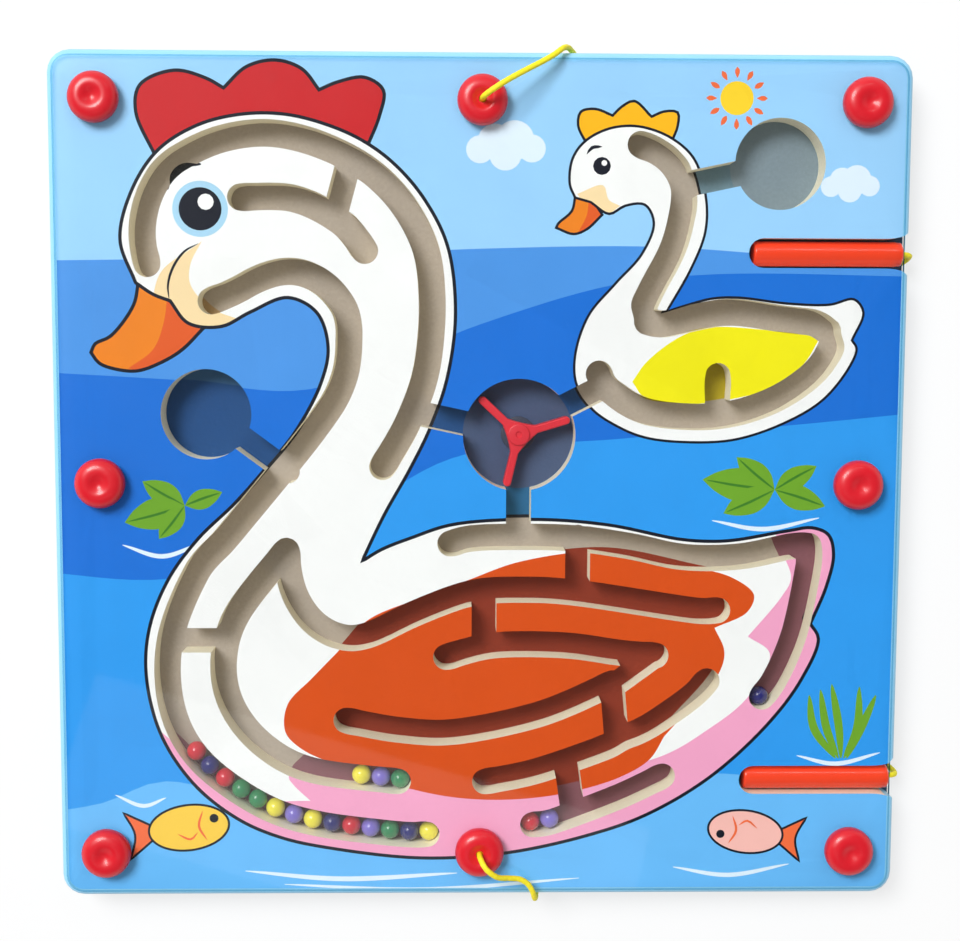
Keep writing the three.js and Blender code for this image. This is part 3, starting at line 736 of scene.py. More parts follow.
cloud(8, 116, 8)
cloud(128, 104, 6)
sun_place = np.array([88, 134])
for ray_degrees in range(0, 360, 30):
    outwards = directions(ray_degrees)[0]
    stroke([sun_place + distance * outwards for distance in (7, 8.6, 10.6)], 1.8, SUN_RAY)
put(disc(*sun_place, 5.8), SUN)
# Painted glare: the goal chamber's floor made pale
put(disc(*GOAL_PLACE, GOAL_RADIUS), GOAL_GLARE_FLOOR)
put(disc(*GATE_PLACE, GATE_CHAMBER_RADIUS), GATE_FLOOR)
for turn, length in [(150, 17), (196, 22), (232, 15), (20, 14)]:
    leaf(-104, -8, length, 0.5 * length, turn, LEAF)
for turn, length in [(172, 26), (140, 18), (205, 20), (30, 17), (-18, 19)]:
    leaf(104, -2, length, 0.46 * length, turn, LEAF)
stroke([(-126, -22), (-112, -26), (-98, -21)], 1.6, FOAM)
stroke([(82, -13), (100, -16), (120, -12)], 1.6, FOAM)
for foot, tip, bend in [(128, 118, -3), (130, 126, 1), (131, 136, 2), (132, 142, 0), (129, 122, -1)]:
    stroke([(foot, -99), ((foot + tip) / 2 + bend, -88), (tip, -70 - abs(tip - 130) / 2)], 3, LEAF)
stroke([(114, -98), (128, -101), (144, -97)], 1.6, FOAM)
fish(-104, -124, 36, FISH, 8)
fish(96, -126, 34, FISH_PALE, 172)
stroke([(-84, -140), (-50, -143), (-8, -141)], 1.8, FOAM)
stroke([(-70, -145), (-20, -147), (36, -143)], 1.5, FOAM)
stroke([(70, -139), (90, -142), (112, -138)], 1.6, FOAM)
stroke([(-130, -112), (-120, -116), (-112, -113)], 1.4, FOAM)

# Big swan

lined(
    shape(
        [(-119, 128), (-117.5, 137), (-105.8, 142), (-95, 139.5), (-88.9, 136.2)],
        [(-81, 143.4), (-71, 145.7), (-62, 142.8), (-56.2, 135.8)],
        [(-49.7, 138.5), (-40.4, 140.1), (-34.1, 135.8), (-35.5, 127), (-40, 116)],
        [(-75, 122), (-112, 112)],
    ),
    CREST,
)
beak = lined(
    shape(
        [(-120.8, 62), (-128.9, 51.2), (-134.3, 48.5), (-135.8, 45.5)],
        [(-133, 41.8), (-126.6, 39.6), (-119.7, 39.2), (-112, 41.9), (-104.3, 46.5), (-97, 53.8)],
        [(-104, 64), (-119, 70)],
    ),
    BEAK,
)
beak_underside = shape([(-110.5, 55.8), (-114.3, 46.6), (-123, 40)], [(-110, 38), (-94, 52)], [(-109, 66)])
put(beak_underside, BEAK_SHADE, beak)
swan = lined(
    shape(
        [
            (-125.1, 84.3), (-121.2, 100.5), (-112, 114.7), (-98.2, 123.5), (-82.8, 127.4), (-67.4, 127.4),
            (-52, 123.5), (-40.4, 118.2), (-30, 110.5), (-20, 98.9), (-11.9, 82.8), (-9.1, 59.7),
            (-11.9, 37.3), (-17.7, 20), (-25, 5), (-34.2, -11.5), (-41.9, -27.7),
        ],
        [
            (-35, -23.5), (-24.2, -19.2), (-10, -14.6), (18.8, -12.7), (45, -14.6), (70.1, -19.6),
            (80.5, -20.4), (89.7, -20), (109.7, -16.5), (117.5, -15.5), (123.5, -18), (125.5, -25),
            (123.2, -36.5), (117.8, -50),
        ],
        [
            (120.8, -55.4), (115.1, -70), (103.5, -86.2), (82.8, -105.8), (60.1, -119.6), (40, -126.9),
            (10.4, -133.5), (-20, -135.4), (-52, -131.9), (-71.2, -127.7), (-86.6, -120.8), (-102, -108.1),
            (-113.5, -90), (-118.4, -68.5), (-117, -51.5), (-110.1, -34.2), (-99.7, -20), (-86.6, -7.3),
            (-77, 3.5), (-65.1, 18.1), (-55.8, 35.8), (-53.5, 48), (-57.4, 59.7), (-67.4, 64.8),
            (-80.5, 59.7), (-90.5, 54.7), (-102, 55.8), (-108.2, 63.5),
        ],
        [(-114, 65.7), (-120, 69.7)],
    ),
    FEATHER,
)
put(
    shape(
        [(-107.4, -94.5), (-95, -108), (-80, -113.8), (-60.5, -114.3)],
        [(-66.5, -108.5), (-68.3, -105.4), (-63, -99.5)],
        [(0, -104), (61, -99.6), (82.8, -87.7), (96.2, -76.2), (103.5, -60.8), (95.5, -54.6)],
        [(107.4, -40), (110.5, -33.5), (105, -19), (104, 0)],
        [(150, 0)],
        [(150, -150)],
        [(-150, -150)],
        [(-121, -82.6)],
    ),
    BREAST,
    swan,
)
put(
    shape(
        [
            (-59.7, -69.6), (-68.5, -79.2), (-69.3, -89.2), (-63.5, -95.4), (-50, -101.5), (-30, -108.5),
            (-10, -113), (10, -114), (30, -111.8), (50, -106), (61, -99.3), (66.2, -90.8),
        ],
        [(85.1, -68.5), (87.2, -60), (83.5, -51.5)],
        [(95.1, -45.8), (97.4, -39.6), (89.7, -33.5), (75, -29.5), (45, -24), (14.2, -27.7), (-5, -34.6)],
        [(-22, -41), (-40, -48.8), (-50.5, -60)],
    ),
    WING,
    swan,
)
cheek = shape(
    [(-101, 76), (-101, 69), (-94, 61), (-85, 57.4)],
    [(-90, 50), (-112, 54), (-112, 72), (-97, 84)],
)
put(cheek, CHEEK, swan)
stroke([(-108.5, 64), (-108.8, 69), (-107, 75), (-103, 80.5), (-98.2, 83.2)], 0.9, LINE)
put(disc(-97.4, 95.1, 9.6), EYE_HALO, swan)
eye(-97.4, 95.1, 7.4, 2.8)
stroke([(-108.4, 101.6), (-108.2, 107.2), (-104.6, 110.4), (-96.9, 110.3)], 3, LINE)

# Small swan

lined(
    shape(
        [(33.1, 124.3), (34, 129), (39, 130), (45, 127.8)],
        [(48.1, 130.8), (52.4, 132.8), (58.5, 127.5)],
        [(62.8, 129.3), (67.5, 129), (67.6, 124.5), (65.1, 118)],
        [(50, 121), (36.5, 117.5)],
    ),
    CROWN,
    0.9,
)
small_beak = lined(
    shape(
        [(31.2, 95.1), (26.5, 90.8), (25.8, 89.3)],
        [(31.9, 87.2), (36.5, 88.9), (41.8, 93.9)],
        [(37, 100), (32.3, 100)],
    ),
    BEAK,
    0.9,
)
put(shape([(36.5, 94), (33, 87)], [(46, 88), (44, 96)], [(37, 100)]), BEAK_SHADE, small_beak)
small_swan = lined(
    shape(
        [
            (30.4, 104.3), (31.2, 112.8), (35, 118.5), (41.2, 122.4), (48.1, 124.2), (55.8, 123.9),
            (65.8, 120.1), (73.5, 113.2), (77.8, 100.1), (77.8, 88.2), (73.2, 75.8), (64.7, 60.5),
        ],
        [
            (70.5, 62.4), (80.5, 65.1), (89.7, 65.5), (107.4, 63.5), (122, 63.2), (130.5, 65.1),
            (133.9, 60.5), (130.1, 50.8),
        ],
        [
            (131.8, 48), (129.7, 41.9), (120.5, 30), (107.4, 21.9), (89.7, 15.8), (72.8, 14.8), (57.4, 16.5),
            (47, 20.8), (38.8, 26.5), (33.4, 35), (32.8, 45), (37.3, 58.9), (46.6, 70.1), (55.8, 80.5),
            (59.8, 91.2), (56.6, 97.4), (49.7, 97), (44.2, 94.2), (37.7, 98.2),
        ],
        [(32.3, 99.7)],
    ),
    FEATHER,
    0.9,
)
put(
    shape(
        [(58, 43), (70, 52), (80.5, 55.1), (99.7, 54.3), (115.8, 52.4), (118.2, 50.5)],
        [(113.5, 42.7), (103.5, 34.6), (88, 30), (70, 28.2), (57.4, 30.4), (53, 36)],
    ),
    SMALL_WING,
    small_swan,
)
put(shape([(42, 104), (44, 99), (48, 97)], [(40, 92), (33, 101)]), CHEEK, small_swan)
eye(41.5, 110.6, 3.1, 1)
stroke([(36.2, 114.6), (38, 116.8), (41.5, 117.2)], 1.2, LINE)


# Board: the CAD rims of the grooves made smooth, and the print cut into the face


def merged(node):
    """A CAD node's triangles, joined"""
    mesh = bmesh.new()
    mesh.from_mesh(frame["nodes"][node].data)
    bmesh.ops.remove_doubles(mesh, verts=mesh.verts, dist=CAD_JOIN_DISTANCE * MM)
    mesh.normal_update()
    return mesh


def level(height):
    """A height in metres as one in millimetres that can be compared"""
    return round(height / MM, 2)


def levels_of(face):
    return {level(corner.co.z) for corner in face.verts}


def flat_levels(mesh):
    """The heights of the board's face and of the groove floors in millimetres"""
    areas = {}
    for face in mesh.faces:
        if face.normal.z > FLAT_NORMAL:
            height = level(face.verts[0].co.z)
            areas[height] = areas.get(height, 0) + face.calc_area()
    face_level = max(areas)
    del areas[face_level]
    return face_level, max(areas, key=areas.get)


def rims(mesh, face_level, floor_level):
    """The loops round the flat face in millimetres, and for each whether its wall ends at the groove floor"""
    following = {}
    for face in mesh.faces:
        if levels_of(face) != {face_level}:
            continue
        for corner in face.loops:
            other = [f for f in corner.edge.link_faces if f != face]
            if levels_of(other[0]) != {face_level}:
                to_floor = levels_of(other[0]) == {face_level, floor_level}
                following[corner.vert] = (corner.link_loop_next.vert, to_floor)
    found = []
    while following:
        at = next(iter(following))
        points = []
        while at in following:
            points.append((at.co.x / MM, at.co.y / MM))
            at, to_floor = following.pop(at)
        found.append((np.array(points), to_floor))
    return found


def rounded(loop):
    """A faceted rim as a smooth one; its corners and long straight stretches stay"""
    steps = np.roll(loop, -1, 0) - loop
    lengths = np.linalg.norm(steps, axis=1)
    ahead = unit(steps)
    behind = np.roll(ahead, 1, 0)
    leaving = unit(ahead * np.roll(lengths, 1)[:, None] + behind * lengths[:, None])
    arriving = leaving.copy()
    straight = lengths > LONG_STRAIGHT
    leaving[np.roll(straight, 1)] = behind[np.roll(straight, 1)]
    arriving[straight] = ahead[straight]
    corner = (ahead * behind).sum(1) < math.cos(math.radians(CORNER_DEGREES))
    leaving[corner] = ahead[corner]
    arriving[corner] = behind[corner]
    runs = []
    for i, length in enumerate(lengths):
        j = (i + 1) % len(loop)
        count = max(1, math.ceil(length / GROOVE_STEP))
        out_slope = ahead[i] if straight[i] else leaving[i]
        in_slope = ahead[i] if straight[i] else arriving[j]
        runs.append(hermite(loop[i], loop[j], out_slope * length, in_slope * length, count))
    return np.vstack(runs)


def turns_round(points, outline):
    """How many times the outline turns round each point"""
    turns = np.zeros(len(points), int)
    near = np.flatnonzero(((points > outline.min(0)) & (points < outline.max(0))).all(1))
    x, y = points[near].T
    counted = np.zeros(len(near), int)
    for (x0, y0), (x1, y1) in zip(outline, np.roll(outline, -1, 0)):
        side = (x1 - x0) * (y - y0) - (x - x0) * (y1 - y0)
        counted += (y0 <= y) & (y1 > y) & (side > 0)
        counted -= (y0 > y) & (y1 <= y) & (side < 0)
    turns[near] = counted
    return turns


def cut_plane(outlines):
    """Flat points and triangles with every outline among their edges"""
    points = np.vstack(outlines)
    edges = []
    for outline in outlines:
        first = edges[-1][0] + 1 if edges else 0
        count = len(outline)
        edges += [(first + i, first + (i + 1) % count) for i in range(count)]
    found = delaunay_2d_cdt([Vector(p) for p in points], edges, [], 0, CUT_TOLERANCE)
    return np.array([tuple(p) for p in found[0]]), np.array(found[2])


def from_edge(point, half_size):
    """How far a point lies inside the board's rounded outline"""
    past_x = abs(point.x) - half_size.x + BOARD_CORNER_RADIUS
    past_y = abs(point.y) - half_size.y + BOARD_CORNER_RADIUS
    if past_x > 0 and past_y > 0:
        return BOARD_CORNER_RADIUS - math.hypot(past_x, past_y)
    return BOARD_CORNER_RADIUS - max(past_x, past_y)


# The board's finishes, in the order of its materials
FACE_FINISH, FLOOR_FINISH, WALL_FINISH, EDGE_FINISH, BACK_FINISH = range(5)


def painted(middles, floor):
    """The ink at the middle of each triangle of the print, some on the groove floor, where pink and orange
    are darkened as painted shade
    """
    inks = np.tile(SKY, (len(middles), 1))
    for outline, ink, within in paint:
        inside = turns_round(middles, outline) != 0
        if within is not None:
            inside &= turns_round(middles, within) != 0
        inks[inside] = ink
    # Painted shade: pink and orange come out darker on the groove floors
    for ink, shaded_floor_ink in SHADED_FLOOR_INKS.items():
        inks[floor & (inks == ink).all(1)] = shaded_floor_ink
    return inks


def face_and_grooves(loops, face_level, floor_level):
    """The printed face and its grooves: points, faces with finish and ink, and the points of the open rim"""
    points, triangles = cut_plane([loop for loop, _ in loops] + [outline for outline, _, _ in paint])
    middles = points[triangles].mean(1)
    solid = sum(turns_round(middles, loop) for loop, _ in loops) > 0
    plain = sum(turns_round(middles, loop) for loop, to_floor in loops if not to_floor) > 0
    floor = plain & ~solid
    inks = painted(middles, floor)
    count = len(points)
    vertices = [(x, y, face_level) for x, y in points] + [(x, y, floor_level) for x, y in points]
    faces = [(tuple(t), FACE_FINISH, ink) for t, ink in zip(triangles[solid], inks[solid])]
    faces += [(tuple(t + count), FLOOR_FINISH, ink) for t, ink in zip(triangles[floor], inks[floor])]
    floor_edges = set()
    for a, b, c in triangles[floor]:
        floor_edges |= {(b, a), (c, b), (a, c)}
    open_edges = set()
    for a, b, c in triangles[solid]:
        for start, end in ((a, b), (b, c), (c, a)):
            if (start, end) in floor_edges:
                faces.append(((start, start + count, end + count, end), WALL_FINISH, FEATHER))
            elif (end, start) in open_edges:
                open_edges.remove((end, start))
            else:
                open_edges.add((start, end))
    return vertices, faces, points[sorted({i for edge in open_edges for i in edge})]


def between(rim, start, end):
    """The points of the open rim that lie inside an edge of the CAD rim, in their order along it"""
    step = (end - start)[:2]
    share = (rim - start[:2]) @ step / (step @ step)
    away = np.linalg.norm(rim - start[:2] - share[:, None] * step, axis=1)
    within = (share > RIM_END_SHARE) & (share < 1 - RIM_END_SHARE)
    inside = np.flatnonzero((away < RIM_TOLERANCE) & within)
    return rim[inside[np.argsort(share[inside])]]


def side_finish(face, half_size):
    """The finish of a CAD face at the board's sides, slots or back"""
    middle = face.calc_center_median() / MM
    along_slot = abs(face.normal.x) < ALONG_SLOT_NORMAL and abs(middle.y) < half_size.y - BOARD_CORNER_RADIUS
    if face.normal.z < -LEVEL_NORMAL:
        return BACK_FINISH
    if from_edge(middle, half_size) < FACE_EDGE_BAND and not along_slot:
        return EDGE_FINISH
    return FLOOR_FINISH if face.normal.z > LEVEL_NORMAL else WALL_FINISH


def sides_and_back(mesh, face_level, floor_level, rim):
    """Corners and finish of the CAD faces that stay; where they meet the printed face they take in its rim"""
    gate_middle = Vector(middle_of("gate_pivot")).xy
    half_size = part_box("maze_board")[1].xy / MM
    redrawn = ({face_level}, {floor_level}, {face_level, floor_level})
    found = []
    for face in mesh.faces:
        heights = levels_of(face)
        from_gate = (face.calc_center_median().xy / MM - gate_middle).length
        pivot_hole = max(heights) <= floor_level and from_gate < 2 * PIVOT_RADIUS
        if heights in redrawn or pivot_hole and face.normal.z >= -LEVEL_NORMAL:
            continue
        corners = [np.array(corner.co) / MM for corner in face.verts]
        around = []
        for start, end in zip(corners, corners[1:] + corners[:1]):
            around.append(tuple(start))
            if level(start[2] * MM) == face_level == level(end[2] * MM):
                around += [(x, y, face_level) for x, y in between(rim, start, end)]
        found.append((around, side_finish(face, half_size)))
    return found


def printed_board():
    """The board, with smooth grooves, its print cut into the face, and the CAD sides and back"""
    cad = merged("maze_board")
    face_level, floor_level = flat_levels(cad)
    loops = []
    for loop, to_floor in rims(cad, face_level, floor_level):
        loops.append((rounded(loop) if to_floor else loop, to_floor))
    vertices, faces, rim = face_and_grooves(loops, face_level, floor_level)
    for around, number in sides_and_back(cad, face_level, floor_level, rim):
        faces.append((tuple(range(len(vertices), len(vertices) + len(around))), number, SLOT_FLOOR))
        vertices += around
    cad.free()

    board = add_object("printed_board", vertices, [corners for corners, _, _ in faces], PRINTED)
    for material in (FLOOR, WALL, EDGE, BACK):
        board.data.materials.append(material)
    board.data.polygons.foreach_set("material_index", [number for _, number, _ in faces])
    inks = board.data.color_attributes.new(INK_ATTRIBUTE, "FLOAT_COLOR", "CORNER")
    for polygon, (_, _, ink) in zip(board.data.polygons, faces):
        for corner in polygon.loop_indices:
            inks.data[corner].color = (*ink, 1)
    joined = bmesh.new()
    joined.from_mesh(board.data)
    outside = [vertex for vertex in joined.verts if not vertex.link_faces]
    bmesh.ops.delete(joined, geom=outside, context="VERTS")
    bmesh.ops.remove_doubles(joined, verts=joined.verts, dist=BOARD_JOIN_DISTANCE * MM)
    joined.to_mesh(board.data)
    joined.free()
    board.data.set_sharp_from_angle(angle=math.radians(CORNER_DEGREES))
    return board


board = printed_board()
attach(board, "board")
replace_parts(board, "maze_board")


# Caps and plugs: turned shapes, set at the eight places


def repeat_tree():
    """Sets a fitting at each place, turned a step further at each"""
    tree = bpy.data.node_groups.new("fittings_at_places", "GeometryNodeTree")
    for label, kind in [
        ("Places", "NodeSocketGeometry"),
        ("Fitting", "NodeSocketObject"),
        ("Turn step", "NodeSocketFloat"),
        ("Finish", "NodeSocketMaterial"),
    ]:
        tree.interface.new_socket(label, in_out="INPUT", socket_type=kind)
    tree.interface.new_socket("Fittings", in_out="OUTPUT", socket_type="NodeSocketGeometry")
    given = tree.nodes.new("NodeGroupInput").outputs
    made = tree.nodes.new("NodeGroupOutput")
    number = add_node(tree, "GeometryNodeInputIndex").outputs["Index"]
    turn = math_node(tree, "MULTIPLY", number, given["Turn step"])
    about_z = add_node(tree, "ShaderNodeCombineXYZ", Z=turn).outputs["Vector"]
    fitting = add_node(tree, "GeometryNodeObjectInfo", Object=given["Fitting"]).outputs["Geometry"]
    placed = add_node(
        tree, "GeometryNodeInstanceOnPoints", Points=given["Places"], Instance=fitting, Rotation=about_z
    ).outputs["Instances"]
    real = add_node(tree, "GeometryNodeRealizeInstances", Geometry=placed).outputs["Geometry"]
    painted_all = add_node(tree, "GeometryNodeSetMaterial", Geometry=real, Material=given["Finish"])
    tree.links.new(painted_all.outputs["Geometry"], made.inputs["Fittings"])
    return tree


FITTINGS = repeat_tree()


def set_out(name, profile, nodes, base_height, material):
    """One mesh of a turned fitting at the middle of each of the CAD nodes that it stands for"""
    pattern = add_object(name + "_pattern", *turned(profile), material)
    places = [(*middle_of(node)[:2], base_height) for node in nodes]
    piece = add_object(name, places, [], material)
    modifier = piece.modifiers.new("fittings", "NODES")
    modifier.node_group = FITTINGS
    values = {"Fitting": pattern, "Turn step": CAP_TURN_STEP, "Finish": material}
    for socket in FITTINGS.interface.items_tree:
        if socket.name in values:
            modifier[socket.identifier] = values[socket.name]
    apply_modifiers(piece)
    bpy.data.objects.remove(pattern)
    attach(piece, "board")
    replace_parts(piece, *nodes)


cover_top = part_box("clear_cover")[1].z / MM
board_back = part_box("maze_board")[0].z / MM
front_caps = sorted(n for n in frame["nodes"] if n.startswith("front_cap"))
rear_plugs = sorted(n for n in frame["nodes"] if n.startswith("rear_plug"))
cord_caps = ["front_cap_top_middle", "front_cap_bottom_middle"]
plain_caps = [n for n in front_caps if n not in cord_caps]
shank_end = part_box(front_caps[0])[0].z / MM - cover_top


def cap_profile(hole_radius):
    """A dimpled dome on a hollow shank; the dimple is closed where the hole's radius is zero"""
    lip = CAP_HEIGHT - CAP_DIMPLE_DEPTH - CAP_LIP
    rim = CAP_RADIUS - CAP_RIM_ROUND
    profile = [(hole_radius, lip), (SHANK_BORE_RADIUS, lip), (SHANK_BORE_RADIUS, shank_end)]
    profile += [(SHANK_RADIUS, shank_end), (SHANK_RADIUS, 0)]
    profile += arc(rim, CAP_RIM_ROUND, CAP_RIM_ROUND, -90, 0, steps=4)
    for share in np.linspace(0, 1, CAP_SHOULDER_POINTS):
        turn = share * math.pi / 2
        radius = CAP_CROWN_RADIUS + (CAP_RADIUS - CAP_CROWN_RADIUS) * math.cos(turn)
        profile.append((radius, CAP_SHOULDER + (CAP_HEIGHT - CAP_SHOULDER) * math.sin(turn)))
    for share in np.linspace(0, 1, CAP_DIMPLE_STEPS + 1)[1:]:
        dip = CAP_DIMPLE_DEPTH * (1 - math.cos(math.pi * share)) / 2
        profile.append((CAP_CROWN_RADIUS + (hole_radius - CAP_CROWN_RADIUS) * share, CAP_HEIGHT - dip))
    return profile


set_out("plain_caps", cap_profile(0), plain_caps, cover_top, CAP)
set_out("cord_caps", cap_profile(CORD_HOLE_RADIUS), cord_caps, cover_top, CAP)

spigot = SHANK_BORE_RADIUS - FIT_GAP
plug_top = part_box(rear_plugs[0])[1].z / MM
dish = PLUG_DISH_RADIUS - PLUG_DISH_SLOPE
plug_profile = [(0, PLUG_DISH_DEPTH), (dish, PLUG_DISH_DEPTH), (PLUG_DISH_RADIUS, 0)]
plug_profile += arc(CAP_RADIUS - PLUG_EDGE, PLUG_EDGE, PLUG_EDGE, -90, 0, steps=5)
plug_profile += [(CAP_RADIUS, board_back), (spigot, board_back), (spigot, plug_top), (0, plug_top)]
set_out("plugs", plug_profile, rear_plugs, 0, CAP)


# Turning gate and its pivot


def gate_outline(tip_radius):
    """The outline of the arms about the hub, with round tips and hollow corners"""
    half = ARM_WIDTH / 2
    between_arms = 360 / ARM_COUNT
    outline = []
    for arm in range(ARM_COUNT):
        degrees = ARM_START_DEGREES + arm * between_arms
        along, across = directions(degrees)
        outline.append(along * ARM_ROOT_RADIUS - across * half)
        for step in range(ARM_ROUND_STEPS + 1):
            turn = -math.pi / 2 + math.pi * step / ARM_ROUND_STEPS
            reach = tip_radius - half + half * math.cos(turn)
            outline.append(along * reach + across * half * math.sin(turn))
        leave = along * ARM_ROOT_RADIUS + across * half
        dip = HUB_RADIUS * directions(degrees + between_arms / 2)[0]
        next_along, next_across = directions(degrees + between_arms)
        arrive = next_along * ARM_ROOT_RADIUS - next_across * half
        for t in np.arange(ARM_ROUND_STEPS) / ARM_ROUND_STEPS:
            outline.append((1 - t) ** 2 * leave + 2 * t * (1 - t) * dip + t * t * arrive)
    return outline


def gate_piece():
    """The rotor: its arms with rounded edges, and the boss on its hub"""
    low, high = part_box("turning_gate")
    base = low.z / MM
    top = high.z / MM
    arm_top = top - HUB_BOSS
    hub = next(j for j in frame["joints"] if j["name"] == "gate_spin")["pos_m"]
    centre = np.array(hub[:2]) / MM
    corners = frame["nodes"]["turning_gate"].data.vertices
    outline = gate_outline(max((corner.co.xy - Vector(hub).xy).length for corner in corners) / MM)
    count = len(outline)
    vertices = [(*(p + centre), base) for p in outline] + [(*(p + centre), arm_top) for p in outline]
    faces = [(i, (i + 1) % count, count + (i + 1) % count, count + i) for i in range(count)]
    faces += [tuple(reversed(range(count))), tuple(range(count, 2 * count))]
    arms = add_object("three_armed_gate", vertices, faces, GATE)
    bevel = arms.modifiers.new("round edges", "BEVEL")
    bevel.width = GATE_EDGE_ROUND * MM
    bevel.segments = GATE_EDGE_STEPS
    bevel.angle_limit = math.radians(GATE_SHARP_DEGREES)
    apply_modifiers(arms)
    sunk = arm_top - GATE_EDGE_ROUND
    dimple = top - HUB_DIMPLE_DEPTH
    boss = [(0, sunk), (HUB_RADIUS, sunk)]
    boss += arc(HUB_RADIUS - GATE_EDGE_ROUND, top - GATE_EDGE_ROUND, GATE_EDGE_ROUND, 0, 90, steps=4)
    boss += [(HUB_DIMPLE_RADIUS, top), (HUB_DIMPLE_RADIUS - HUB_DIMPLE_DEPTH, dimple), (0, dimple)]
    boss_points, boss_faces = turned(boss)
    cap = add_object("gate_boss", boss_points + (*centre, 0), boss_faces, GATE)
    for piece in (arms, cap):
        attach(piece, "gate")
    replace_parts(arms, "turning_gate")


def pivot_piece():
    """The flanged post that the gate turns on"""
    low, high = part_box("gate_pivot")
    flange = (high.x - low.x) / 2 / MM
    flange_top = PIVOT_DEPTH + PIVOT_FLANGE
    height = (high.z - low.z) / MM
    profile = [(0, 0), (PIVOT_RADIUS, 0), (PIVOT_RADIUS, PIVOT_DEPTH), (flange, PIVOT_DEPTH)]
    profile += arc(flange - PIVOT_EDGE, flange_top - PIVOT_EDGE, PIVOT_EDGE, 0, 90, steps=4)
    profile += [(PIVOT_RADIUS, flange_top), (PIVOT_RADIUS, height), (0, height)]
    points, faces = turned(profile)
    foot = (*middle_of("gate_pivot")[:2], low.z / MM)
    piece = add_object("flanged_pivot", points + foot, faces, PIVOT)
    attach(piece, "board")
    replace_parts(piece, "gate_pivot")


gate_piece()
pivot_piece()


# Wands


def wand_pieces(place):
    """The barrel and the stopper of a wand, turned about its length"""
    body = "wand_" + place
    low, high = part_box("wand_tube_" + place)
    _, axis_y, axis_z = middle_of("wand_tube_" + place)
    start = low.x / MM
    end = high.x / MM
    plug_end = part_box("wand_end_plug_" + place)[1].x / MM
    radius = (high.z - low.z) / 2 / MM
    bore = radius - WAND_WALL
    tip = start + WAND_TIP_ROUND
    tube = [(0, start)] + arc(radius - WAND_TIP_ROUND, tip, WAND_TIP_ROUND, -90, 0, steps=6)
    tube += [(radius, end), (bore, end), (bore, start + WAND_WALL), (0, start + WAND_WALL)]
    inner_end = end - STOPPER_DEPTH
    rim = radius - STOPPER_INSET
    plug = [(CORD_HOLE_RADIUS, inner_end), (bore - FIT_GAP, inner_end), (bore - FIT_GAP, end), (rim, end)]
    plug += arc(rim - STOPPER_EDGE, plug_end - STOPPER_EDGE, STOPPER_EDGE, 0, 90, steps=5)
    plug += [(CORD_HOLE_RADIUS + FIT_GAP, plug_end), (CORD_HOLE_RADIUS, plug_end - FIT_GAP)]
    pieces = [("wand_barrel_", tube, "wand_tube_"), ("wand_stopper_", plug, "wand_end_plug_")]
    for name, profile, node in pieces:
        points, faces = turned(profile)
        laid = np.stack([points[:, 2], points[:, 1] + axis_y, axis_z - points[:, 0]], 1)
        piece = add_object(name + place, laid, faces, WAND)
        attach(piece, body)
        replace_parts(piece, node + place)
    recolour("wand_magnet_" + place, STEEL)


wand_pieces("upper")
wand_pieces("lower")


# Balls


def ball_piece(node):
    """A round ball with the coat that its node's name tells"""
    low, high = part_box(node)
    radius = (high.y - low.y) / 2 / MM
    profile = [(0, -radius)]
    profile += arc(0, 0, radius, -BALL_POLE_DEGREES, BALL_POLE_DEGREES, BALL_RINGS)
    profile.append((0, radius))
    points, faces = turned(profile, BALL_SIDES)
    tint = node.split("_")[1]
    middle = middle_of(node)
    piece = add_object("coated_" + node, points + middle, faces, BALL_COATS[tint], BALL_SMOOTH_DEGREES)
    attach(piece, node)
    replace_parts(piece, node)


for node in sorted(n for n in frame["nodes"] if n.startswith("ball_")):
    ball_piece(node)

recolour("clear_cover", ACRYLIC)


# Floor, light and background


def add_light(name, place, size, power, aim=(0, 0, 0)):
    """A rectangular lamp that faces a point"""
    lamp = bpy.data.lights.new(name, "AREA")
    lamp.shape = "RECTANGLE"
    lamp.size, lamp.size_y = size
    lamp.energy = power
    light = bpy.data.objects.new(name, lamp)
    light.location = place
    light.rotation_euler = (Vector(aim) - Vector(place)).to_track_quat("-Z", "Y").to_euler()
    scene.collection.objects.link(light)
    return light


def link_to(light, piece, state):
    """Gives a lamp to one piece only, or to every piece but that one"""
    receivers = bpy.data.collections.new(light.name + "_receivers")
    receivers.objects.link(piece)
    receivers.collection_objects[0].light_linking.link_state = state
    light.light_linking.receiver_collection = receivers


def seen_and_mirrored(tree):
    """Two values: one for rays from the camera, one for those that a mirroring or clear surface sends on"""
    ray = add_node(tree, "ShaderNodeLightPath")
    sent_on = math_node(tree, "MAXIMUM", ray.outputs["Is Glossy Ray"], ray.outputs["Is Transmission Ray"])
    return ray.outputs["Is Camera Ray"], sent_on


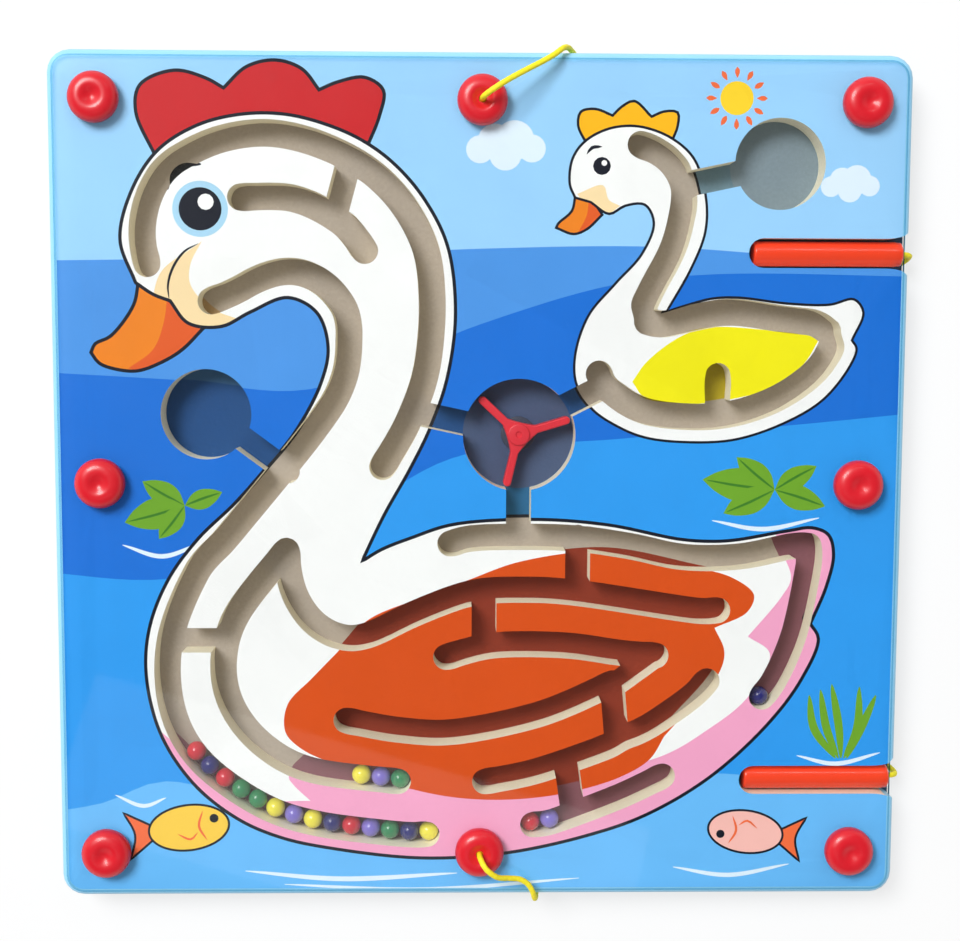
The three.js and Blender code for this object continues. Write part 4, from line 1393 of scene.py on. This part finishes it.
def floor_material():
    """Pale floor with faint shadows, white further off, and clear from below"""
    material = finish("pale_floor", colour(240, 240, 240), 0.6, patches=0.02, grain=0.02)
    tree = material.node_tree
    skin = tree.nodes["Principled BSDF"]
    place = add_node(tree, "ShaderNodeTexCoord").outputs["Object"]
    distance = add_node(tree, "ShaderNodeVectorMath", place, operation="LENGTH").outputs["Value"]
    away = add_node(tree, "ShaderNodeMapRange", Value=distance, From_Min=FLOOR_NEAR, From_Max=FLOOR_FAR)
    away.inputs["To Min"].default_value = FLOOR_WHITE
    white = math_node(tree, "MAXIMUM", *seen_and_mirrored(tree))
    white = math_node(tree, "MULTIPLY", white, away.outputs["Result"])
    glow = add_node(tree, "ShaderNodeEmission", WHITE).outputs["Emission"]
    from_above = mixed(tree, white, skin.outputs["BSDF"], glow)
    below = add_node(tree, "ShaderNodeNewGeometry").outputs["Backfacing"]
    set_surface(tree, mixed(tree, below, from_above, transparent(tree, WHITE)))
    return material


floor_corners = []
for x, y in ((-1, -1), (1, -1), (1, 1), (-1, 1)):
    floor_corners.append((x * FLOOR_REACH, y * FLOOR_REACH, -FLOOR_DROP))
add_object("floor", floor_corners, [(0, 1, 2, 3)], floor_material())

# The key softbox lights all but the clear cover, which mirrors a dimmer panel in its place
cover = frame["nodes"]["clear_cover"]
link_to(add_light("key_softbox", KEY_PLACE, KEY_SIZE, KEY_POWER), cover, "EXCLUDE")
link_to(add_light("mirrored_panel", KEY_PLACE, KEY_SIZE, MIRRORED_POWER), cover, "INCLUDE")
add_light("glare_panel", (-0.12, -0.515, 1.2), size=(0.68, 0.176), power=0.24, aim=(0, -0.1, 0))
add_light("wand_strip", (0.41, 1.07, 1.2), size=(0.4, 0.14), power=1, aim=(0.12, 0, 0))

# A pale room with a dark ceiling: white to the camera, and mirrored white from the sides only
scene.world = bpy.data.worlds.new("studio")
scene.world.use_nodes = True
room = scene.world.node_tree
direction = add_node(room, "ShaderNodeTexCoord").outputs["Generated"]
height = add_node(room, "ShaderNodeSeparateXYZ", direction).outputs["Z"]
overhead = add_node(room, "ShaderNodeMapRange", Value=height, From_Min=CEILING_START, From_Max=CEILING_FULL)
overhead.interpolation_type = "SMOOTHSTEP"
seen, mirrored = seen_and_mirrored(room)
dark = math_node(room, "MULTIPLY", overhead.outputs["Result"], CEILING_DARK)
seen_lift = math_node(room, "MULTIPLY", seen, WALL_LIFT)
mirrored_lift = math_node(room, "MULTIPLY", mirrored, math_node(room, "SUBTRACT", WALL_LIFT, dark))
lift = math_node(room, "ADD", seen_lift, mirrored_lift)
room_light = room.nodes["Background"]
connect(room, WHITE, room_light.inputs["Color"])
connect(room, math_node(room, "ADD", lift, ROOM_LIGHT), room_light.inputs["Strength"])
